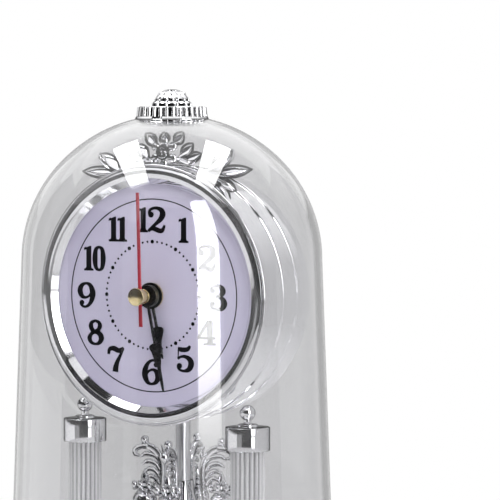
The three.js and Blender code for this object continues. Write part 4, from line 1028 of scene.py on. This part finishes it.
def reed_tree():
    tree, given = new_tree("reeded_rod", {
        "Reeds": "Int", "Radius": "Float", "Depth of reeds": "Float", "Length": "Float", "Place": "Vector",
        "Finish": "Material"})
    rod = add_node(tree, "GeometryNodeMeshCylinder", {
        "Vertices": compute(tree, "MULTIPLY", given["Reeds"], REED_POINTS), "Side Segments": 1,
        "Radius": given["Radius"], "Depth": given["Length"]})
    spot = add_node(tree, "ShaderNodeSeparateXYZ", {0: add_node(tree, "GeometryNodeInputPosition")}).outputs
    angle = compute(tree, "ARCTAN2", spot["Y"], spot["X"])
    turns = compute(tree, "MULTIPLY", angle, compute(tree, "DIVIDE", given["Reeds"], 2.0))
    wave = compute(tree, "ABSOLUTE", compute(tree, "SINE", turns))
    valley = compute(tree, "SUBTRACT", 1.0, compute(tree, "POWER", wave, REED_ROUND))
    dip = compute(tree, "MULTIPLY", valley, given["Depth of reeds"])
    share = compute(tree, "SUBTRACT", 1.0, compute(tree, "DIVIDE", dip, given["Radius"]))
    moved = add_node(tree, "ShaderNodeCombineXYZ", {
        "X": compute(tree, "MULTIPLY", spot["X"], share), "Y": compute(tree, "MULTIPLY", spot["Y"], share),
        "Z": spot["Z"]})
    dipped = add_node(tree, "GeometryNodeSetPosition", {"Geometry": rod, "Position": moved})
    # The reeds' height, which the column finish reads for its painted shade.
    marked = add_node(tree, "GeometryNodeStoreNamedAttribute",
                      {"Geometry": dipped, "Name": "reed", "Value": wave}, data_type="FLOAT", domain="POINT")
    close_tree(tree, marked, given)
    return tree


ROD_TREE = reed_tree()
for side in ("left", "right"):
    node = f"column_{side}_shaft"
    low, high = span(node)
    rod = grown(node, ROD_TREE, {
        "Reeds": REEDS, "Radius": (high.x - low.x) / 2 * MM, "Depth of reeds": REED_DEPTH * MM,
        "Length": (high.z - low.z - 2 * TENON) * MM, "Place": list(centre(node) * MM),
        "Finish": FINISHES["column_clear"]})
    settle(rod, f"column_{side}_rod", "column_clear", "stand", [node], 40)

# %% Column feet and caps
BALL_R = 2.55
FOOT_H = 7.8
PEG_R = 3.1
SOCKET = 3.2
NECK_R = 1.2


def axis_at(node):
    """Where a node's upright axis stands."""
    return Vector((*centre(node).xy, 0))


for side in ("left", "right"):
    base_node, cap_node = f"column_{side}_base", f"column_{side}_cap"
    at = axis_at(base_node)
    low, high = span(base_node)
    radius = (high.x - low.x) / 2
    bore = radius - 3.6
    deck = high.z - FOOT_H
    foot = softened([(0, low.z), (PEG_R, low.z), (PEG_R, deck), (radius, deck), (radius, high.z),
                     (bore, high.z), (bore, high.z - SOCKET), (0, high.z - SOCKET)], 0.5)
    piece(f"column_{side}_foot", [turned(foot, at, steps=80)], "cast_chrome", "stand", [base_node])
    low, high = span(cap_node)
    top = high.z - 2 * BALL_R - 2.0
    collar_r = BALL_R + 0.7
    head = softened([(0, low.z + SOCKET), (bore, low.z + SOCKET), (bore, low.z), (radius, low.z),
                     (radius, top), (collar_r, top), (collar_r, top + 0.9), (1.5, top + 1.0),
                     (NECK_R, top + 1.6)], 0.35)
    head[-1] = (NECK_R, top + 1.7)
    head += arc(0, high.z - BALL_R, BALL_R, -62, 90, 16)[:-1] + [(0, high.z)]
    head_shape = turned(head, at, steps=80, closed=False)
    piece(f"column_{side}_head", [head_shape], "cast_chrome", "stand", [cap_node])

# %% [markdown]
# ## Post and pendulum
# A thin chrome post carries the drum. Around it turns the pendulum: a turned hub on a disc, and four curled
# leaf arms that each carry a small orb with a coronet of beads. One arm is drawn in its own plane and
# placed four times.

# %% Post and hub
low, high = span("centre_post")
POST_AT = axis_at("centre_post")
POST_R = (high.x - low.x) / 2
STUD_R = 1.5
post_top = DIAL_Z - DRUM_R - 0.7
post = softened([(0, low.z), (POST_R, low.z), (POST_R, post_top), (STUD_R, post_top), (STUD_R, high.z),
                 (0, high.z)], 0.2)
piece("post_rod", [turned(post, POST_AT, steps=64)], "satin_chrome", "stand", ["centre_post"])

low, high = span("pendulum_hub")
DECK_Z = span("base_deck")[1].z
DISC_R = (high.x - low.x) / 2
HUB_BORE = POST_R + 0.35
TUBE_R = HUB_BORE + 1.3
HUB_TOP = 0.82
hub_h = (high.z - DECK_Z) / HUB_TOP
disc_low = DECK_Z + 6


def hub_level(share):
    return DECK_Z + hub_h * share


def hub_curve(spots, steps):
    """A smooth line through points given as a distance from the tube and a share of the hub's height."""
    line = smooth_path([(TUBE_R + out, hub_level(share)) for out, share in spots], steps)
    return [(p.x, p.y) for p in line]


foot_share = (disc_low + 7.6 - DECK_Z) / hub_h
hub = [(HUB_BORE, hub_level(HUB_TOP)), (HUB_BORE, low.z), (TUBE_R, low.z), (TUBE_R, disc_low),
       (DISC_R - 2, disc_low + 0.6), *arc(DISC_R - 1.6, disc_low + 2.2, 1.6, -75, 75, 10),
       (DISC_R - 3, disc_low + 4.0), (DISC_R * 0.52, disc_low + 5.2),
       *hub_curve([(2.2, foot_share), (0.5, 0.22), (0, 0.34), (0.3, 0.43), (0.6, 0.455)], 24),
       *arc(TUBE_R + 1.1, hub_level(0.477), hub_h * 0.016, -90, 90, 8),
       *hub_curve([(0.6, 0.5), (2.2, 0.56), (3.0, 0.62), (2.2, 0.68), (0.8, 0.735), (-0.3, 0.775),
                   (-0.6, HUB_TOP)], 30)]
piece("pendulum_baluster", [turned(hub, POST_AT, steps=80)], "cast_chrome", "pendulum", ["pendulum_hub"])

# %% The lines of a leaf arm
ARMS = 4
FRONDS = 4
ORB_X = 13.8
ORB_R = 4.1
ARM_REACH = 17.9
leaf_top = span("pendulum_arm_1")[1].z - 4.35
stem_x = HUB_BORE + 5.7
collar_z = leaf_top - 14.2
orb_z = collar_z - ORB_R - 0.2
orb_low = orb_z - ORB_R
ARM_LINES = [
    ([(stem_x + 0.3, hub_level(0.6)), (stem_x - 1, leaf_top - 14), (stem_x - 1.2, leaf_top - 6),
      (stem_x + 1.2, leaf_top - 1.7), (ORB_X - 0.4, leaf_top), (ARM_REACH - 0.9, leaf_top - 1.1),
      (ARM_REACH - 0.6, leaf_top - 2.9), (ARM_REACH - 2.0, leaf_top - 3.4)],
     [0.9, 2.0, 2.2, 2.6, 2.4, 1.8, 1.5, 1.1], 2.4, 0.35),
    ([(stem_x + 0.2, hub_level(0.62)), (stem_x + 1.6, orb_low - 4.0), (ORB_X - 1.6, orb_low - 2.7),
      (ORB_X, orb_low - 0.5)], [0.9, 1.8, 1.8, 1.6], 2.0, 0.2),
    ([(stem_x + 0.2, hub_level(0.64)), (stem_x + 4.2, hub_level(0.53)), (stem_x + 2.4, hub_level(0.37)),
      (stem_x - 0.8, hub_level(0.25)), (stem_x + 1.8, hub_level(0.17)), (DISC_R - 4, disc_low + 5.3),
      (DISC_R - 2.8, disc_low + 6.6), (DISC_R - 4.2, disc_low + 7.6)],
     [0.9, 1.9, 1.6, 1.6, 1.9, 1.7, 1.3, 0.8], 2.0, 0.3)]
for k in range(FRONDS):
    z = leaf_top - 6.2 - 2.5 * k
    frond = [(stem_x - 0.8, z), (stem_x + 1.2, z + 2.7), (ORB_X - 0.6 - 0.6 * k, z + 3.5),
             (ORB_X + 1.8 - 0.8 * k, z + 2.3)]
    ARM_LINES.append((frond, [0.9, 1.7, 1.8, 0.6], 1.8, 0.4))
ear = [(stem_x - 0.6, leaf_top - 4.8), (stem_x - 1.9, leaf_top - 2.4), (stem_x - 0.6, leaf_top + 0.4)]
ARM_LINES.append((ear, [0.8, 1.6, 0.4], 1.6, 0.4))
SPIRE = [(2.2, -0.55), (ORB_R - 0.1, -0.5), (ORB_R + 0.2, -0.2), (ORB_R - 0.2, 0.2), (1.4, 0.6), (0.85, 1.5),
         (1.1, 2.4), (1.4, 3.3), (1.1, 4.4), (0.5, 5.6), (0, 6.8)]
orb_profile = arc(0, orb_z, ORB_R, -90, 66, 18) + [(r, collar_z + up) for r, up in SPIRE]
print(len(ARM_LINES), "lines in an arm")


# %% Leaf arms and orbs
def arm_plane(angle):
    """Places points that are given in an arm's own plane: out from the post, up, and aside."""
    out_way = Vector((math.cos(angle), math.sin(angle), 0))
    side_way = Vector((-math.sin(angle), math.cos(angle), 0))
    return lambda x, z, aside: POST_AT + out_way * x + side_way * aside + Vector((0, 0, z))


first_orb = centre("pendulum_orb_1")
first_turn = math.atan2(first_orb.y - POST_AT.y, first_orb.x)
for i in range(ARMS):
    angle = first_turn + i * math.tau / ARMS
    on_arm = arm_plane(angle)
    leaf = [swept(path, widths, depth, on_arm, 32, 12, groove) for path, widths, depth, groove in ARM_LINES]
    leaf.append(ball(on_arm(ORB_X, leaf_top + 2.1, 0), 1.4))
    arm, orb = f"pendulum_arm_{i + 1}", f"pendulum_orb_{i + 1}"
    piece(f"pendulum_leaf_{i + 1}", leaf, "cast_chrome", "pendulum", [arm], sharp=60)
    at = on_arm(ORB_X, 0, 0)
    orb_shape = turned(orb_profile, at, steps=48, closed=False)
    piece(f"pendulum_ball_{i + 1}", [orb_shape], "cast_chrome", "pendulum", [orb])
    ring_piece(f"pendulum_coronet_{i + 1}", "ball", 8, ORB_R - 0.3, (0.95, 0.95, 1.25),
               (at.x, at.y, collar_z + 1.2), "cast_chrome", "pendulum", [orb], sharp=50, start=angle)

# %% [markdown]
# ## The base
# Below the dome is a round plinth with a plain foot band, a hollow and a rounded moulding, closed by a deck
# with a groove for the dome's rim. Both are turned from profiles whose hollows and rounds are true arcs.

# %% Plinth and deck
BASE_WALL = 2.4
BASE_EDGE_R = 0.8
DECK_FIT = 0.2
plinth_low, plinth_high = span("base_plinth")
deck_low, deck_high = span("base_deck")
BASE_R = plinth_high.x
DECK_R = deck_high.x
cover_top = span("bottom_cover")[0].z + 2.0
ledge_z = deck_low.z - DECK_FIT
band_z = DECK_Z * 0.24
cove_r = (BASE_R - DECK_R) * 0.52
cove_x = BASE_R - 2.2
cove_top = band_z + 1 + cove_r
waist_r = cove_x - cove_r
torus_r = (ledge_z - cove_top) * 0.27
torus_top = cove_top + 2 * torus_r
seat_r = DECK_R + DECK_FIT
outer_r = seat_r + BASE_WALL
plinth = [
    *arc(BASE_R - BASE_EDGE_R, 1.8, BASE_EDGE_R, 270, 360, 6),
    *arc(BASE_R - BASE_EDGE_R, band_z, BASE_EDGE_R, 0, 90, 6), *arc(cove_x, cove_top, cove_r, 270, 180, 14),
    *arc(waist_r, cove_top + 0.6 + torus_r, torus_r, -90, 90, 14), (outer_r, torus_top + 1.8),
    *arc(outer_r - BASE_EDGE_R, plinth_high.z - BASE_EDGE_R, BASE_EDGE_R, 0, 90, 6), (seat_r, plinth_high.z),
    (seat_r, ledge_z), (DECK_R - 3, ledge_z), (DECK_R - 3, ledge_z - BASE_WALL),
    (waist_r - BASE_WALL, torus_top), (waist_r - BASE_WALL, cove_top), (cove_x - BASE_WALL, band_z + 2),
    (BASE_R - 3, cover_top + 0.2), (BASE_R - 3, plinth_low.z)]
piece("plinth_moulding", [turned(plinth, steps=160)], "chrome_plate", "stand", ["base_plinth"])
groove_low = (deck_low.z + deck_high.z) / 2
groove_out, groove_in = RIM_R + 0.35, RIM_R - DOME_WALL - 0.45
deck_hole = TUBE_R + 0.35
deck_profile = softened([
    (deck_hole, deck_low.z), (DECK_R, deck_low.z), (DECK_R, deck_high.z), (groove_out, deck_high.z),
    (groove_out, groove_low), (groove_in, groove_low), (groove_in, deck_high.z),
    (deck_hole, deck_high.z)], 0.3)
deck_points, deck_faces = turned(deck_profile, steps=160)
for spot in deck_points:
    if math.hypot(spot.x, spot.y) < deck_hole + 0.5:
        spot += POST_AT
piece("deck_plate", [(deck_points, deck_faces)], "chrome_plate", "stand", ["base_deck"])

# %% [markdown]
# ## The stage
# A pale round table stands under the clock and fades to white at its edge. The background is white to the
# eye, to chrome and to clear plastic. Lamps hang overhead and behind, and a tall one stands to the right of
# the camera. Cards near the camera give the chrome its black lines. Lamps and cards can't be seen
# themselves, and no card is seen straight through the plastic. Some are only for the chrome under the dome,
# which sees them through its wall, and some only for the mirrors outside it, such as the dome's own
# surface.

# %% Table and background
TABLE_R = 0.6
TABLE_SIDES = 96
FADE_FROM = 0.45
FILL_LIGHT = 0.55


def white_world():
    world = bpy.data.worlds.new("white_studio")
    world.use_nodes = True
    tree = world.node_tree
    path = add_node(tree, "ShaderNodeLightPath").outputs
    seen = compute(tree, "MAXIMUM", path["Is Camera Ray"], path["Is Glossy Ray"])
    shown = compute(tree, "MAXIMUM", seen, path["Is Transmission Ray"])
    level = add_node(tree, "ShaderNodeMapRange", {"Value": shown, "To Min": FILL_LIGHT, "To Max": 1.0})
    background = tree.nodes["Background"]
    feed(tree, background.inputs["Color"], (1, 1, 1, 1))
    feed(tree, background.inputs["Strength"], level)
    return world


def table_finish():
    material = new_finish("pale_table", (238.61, 238.61, 238.61), 0.6)
    tree = material.node_tree
    spot = add_node(tree, "ShaderNodeTexCoord").outputs["Object"]
    far = add_node(tree, "ShaderNodeVectorMath", {0: spot}, operation="LENGTH").outputs["Value"]
    fade = add_node(tree, "ShaderNodeMapRange",
                    {"Value": far, "From Min": TABLE_R * FADE_FROM, "From Max": TABLE_R})
    white = add_node(tree, "ShaderNodeEmission", {"Strength": 1.0})
    show_mix(tree, fade, shader_of(material), white)
    return material


def stage_plane(name, corners, material):
    mesh = bpy.data.meshes.new(name)
    mesh.from_pydata([Vector(c) for c in corners], [], [list(range(len(corners)))])
    mesh.materials.append(material)
    plane = bpy.data.objects.new(name, mesh)
    scene.collection.objects.link(plane)
    return plane


scene.world = white_world()
stage_plane("table", [(*on_circle(k, TABLE_SIDES, TABLE_R), 0) for k in range(TABLE_SIDES)], table_finish())


# %% Lamps and cards
HIDDEN_FROM = {"lamp": [], "card": [], "inner": ["glossy", "diffuse"], "outer": ["transmission", "shadow"]}


def seen_from_camera(right, near, up):
    """A place given from the dome's axis: to the camera's right, towards it, and up, in metres."""
    return Vector((right * math.cos(AZIMUTH) + near * math.sin(AZIMUTH),
                   right * math.sin(AZIMUTH) - near * math.cos(AZIMUTH), up))


def show_mirrored_only(tree, glow):
    """The glow for mirrored and scattered light, and nothing for a look straight through clear plastic."""
    path = add_node(tree, "ShaderNodeLightPath").outputs
    bounces = compute(tree, "ADD", path["Glossy Depth"], path["Diffuse Depth"])
    straight = compute(tree, "LESS_THAN", bounces, 0.5)
    through = compute(tree, "MULTIPLY", straight, path["Is Transmission Ray"])
    show_mix(tree, through, glow, add_node(tree, "ShaderNodeBsdfTransparent"))


def card(name, kind, corners, level, fade=None):
    """A flat lamp or card that no camera sees; it may fade between two heights, to a share of its level."""
    material = bpy.data.materials.new(name)
    material.use_nodes = True
    tree = material.node_tree
    glow = add_node(tree, "ShaderNodeEmission", {"Strength": level})
    if fade:
        low, high, share = fade
        spot = add_node(tree, "ShaderNodeTexCoord").outputs["Object"]
        height = add_node(tree, "ShaderNodeSeparateXYZ", {0: spot}).outputs["Z"]
        feed(tree, glow.inputs["Strength"], add_node(tree, "ShaderNodeMapRange", {
            "Value": height, "From Min": low, "From Max": high, "To Min": level * share, "To Max": level}))
    if kind == "lamp":
        feed(tree, tree.nodes["Material Output"].inputs["Surface"], glow)
    else:
        show_mirrored_only(tree, glow)
    plane = stage_plane(name, [seen_from_camera(*c) for c in corners], material)
    for ray in ["camera", *HIDDEN_FROM[kind]]:
        setattr(plane, "visible_" + ray, False)


def level_card(name, kind, outline, up, level):
    card(name, kind, [(right, near, up) for right, near in outline], level)


def upright(name, kind, start, end, distance, low, high, level, fade=None):
    """A standing card between two angles from the camera's side, at a distance from the axis."""
    ways = [on_circle(90 - angle, 360, distance) for angle in (start, end)]
    card(name, kind, [(*ways[0], low), (*ways[1], low), (*ways[1], high), (*ways[0], high)], level, fade)


# %% The general light
LAMP_OUTLINE = [(0.17, -0.32), (0.32, -0.34), (0.33, 0.28), (0.17, 0.26)]
LAMP_UP = 0.8
SIDES = ((-1, "left"), (1, "right"))
for side, name in SIDES:
    level_card("lamp_over_" + name, "lamp", [(side * x, near) for x, near in LAMP_OUTLINE], LAMP_UP, 9.0)
upright("lamp_right", "lamp", 18.7, 35.4, 1.2, -0.3, 1.55, 13.0, (0.06, 0.16, 0.08))
upright("dark_behind_camera", "card", -30, 17.6, 1.4, -0.4, 1.9, 0.03)
upright("dark_left", "card", -84, -30, 1.3, 0.085, 1.9, 0.05)
upright("dark_far_left", "card", -135, -84, 1.3, 0.09, 1.3, 0.1)
upright("grey_left_of_camera", "card", -60, -30, 1.4, -0.4, 0.085, 0.5)
level_card("lamp_over_back", "lamp", rectangle(-1.2, 1.2, -0.5, -1.4), 1.0, 1.6)
card("lamp_back_wing", "lamp", [(1.2, -0.5, 1.0), (1.2, -1.4, 1.0), (1.9, -1.4, 0.6), (1.9, -0.5, 0.6)], 1.6,
     (0.6, 1.0, 0.625))

# %% Cards for the chrome under the dome
upright("lamp_low_left", "inner", -128, -56, 1.2, -0.5, 0.08, 1.6)
upright("lamp_low_right", "inner", 18.7, 35.4, 1.15, -0.5, 0.05, 3.5)
upright("lamp_front_left", "inner", -100, -30, 1.15, 0.85, 2.0, 2.2)
upright("lamp_front", "inner", -30, 17, 1.15, 1.25, 2.0, 1.8)
level_card("dark_overhead", "inner", rectangle(-1.6, 1.6, 1.5, -0.3), 2.3, 0.05)

# %% Cards for the mirrors outside the dome
upright("flag_behind", "outer", 172, 188, 1.3, 0.36, 0.58, 0.4)
for side, name in SIDES:
    upright("flag_low_" + name, "lamp", side * 140, side * 161, 1.3, -0.6, 0.4, 0.55)
    upright("flag_high_" + name, "outer", side * 156, side * 172, 1.3, 0.4, 0.75, 0.42)
    upright("flag_edge_" + name, "outer", side * 161, side * 172, 1.3, -0.6, 0.4, 0.55)
upright("veil_low_left", "outer", -90, -30, 1.25, -0.4, 0.085, 0.1)
upright("glow_left_of_camera", "outer", -37, -25, 1.2, -0.3, 1.5, 0.7)
upright("veil_left", "outer", -156, -84, 1.25, -0.4, 1.6, 1.2)
upright("dark_right", "outer", 38, 84, 1.3, -0.4, 1.2, 0.06)
upright("grey_right", "outer", 84, 140, 1.3, -0.4, 1.0, 0.7)
print("stage set")

# %% Last update
bpy.context.view_layer.update()
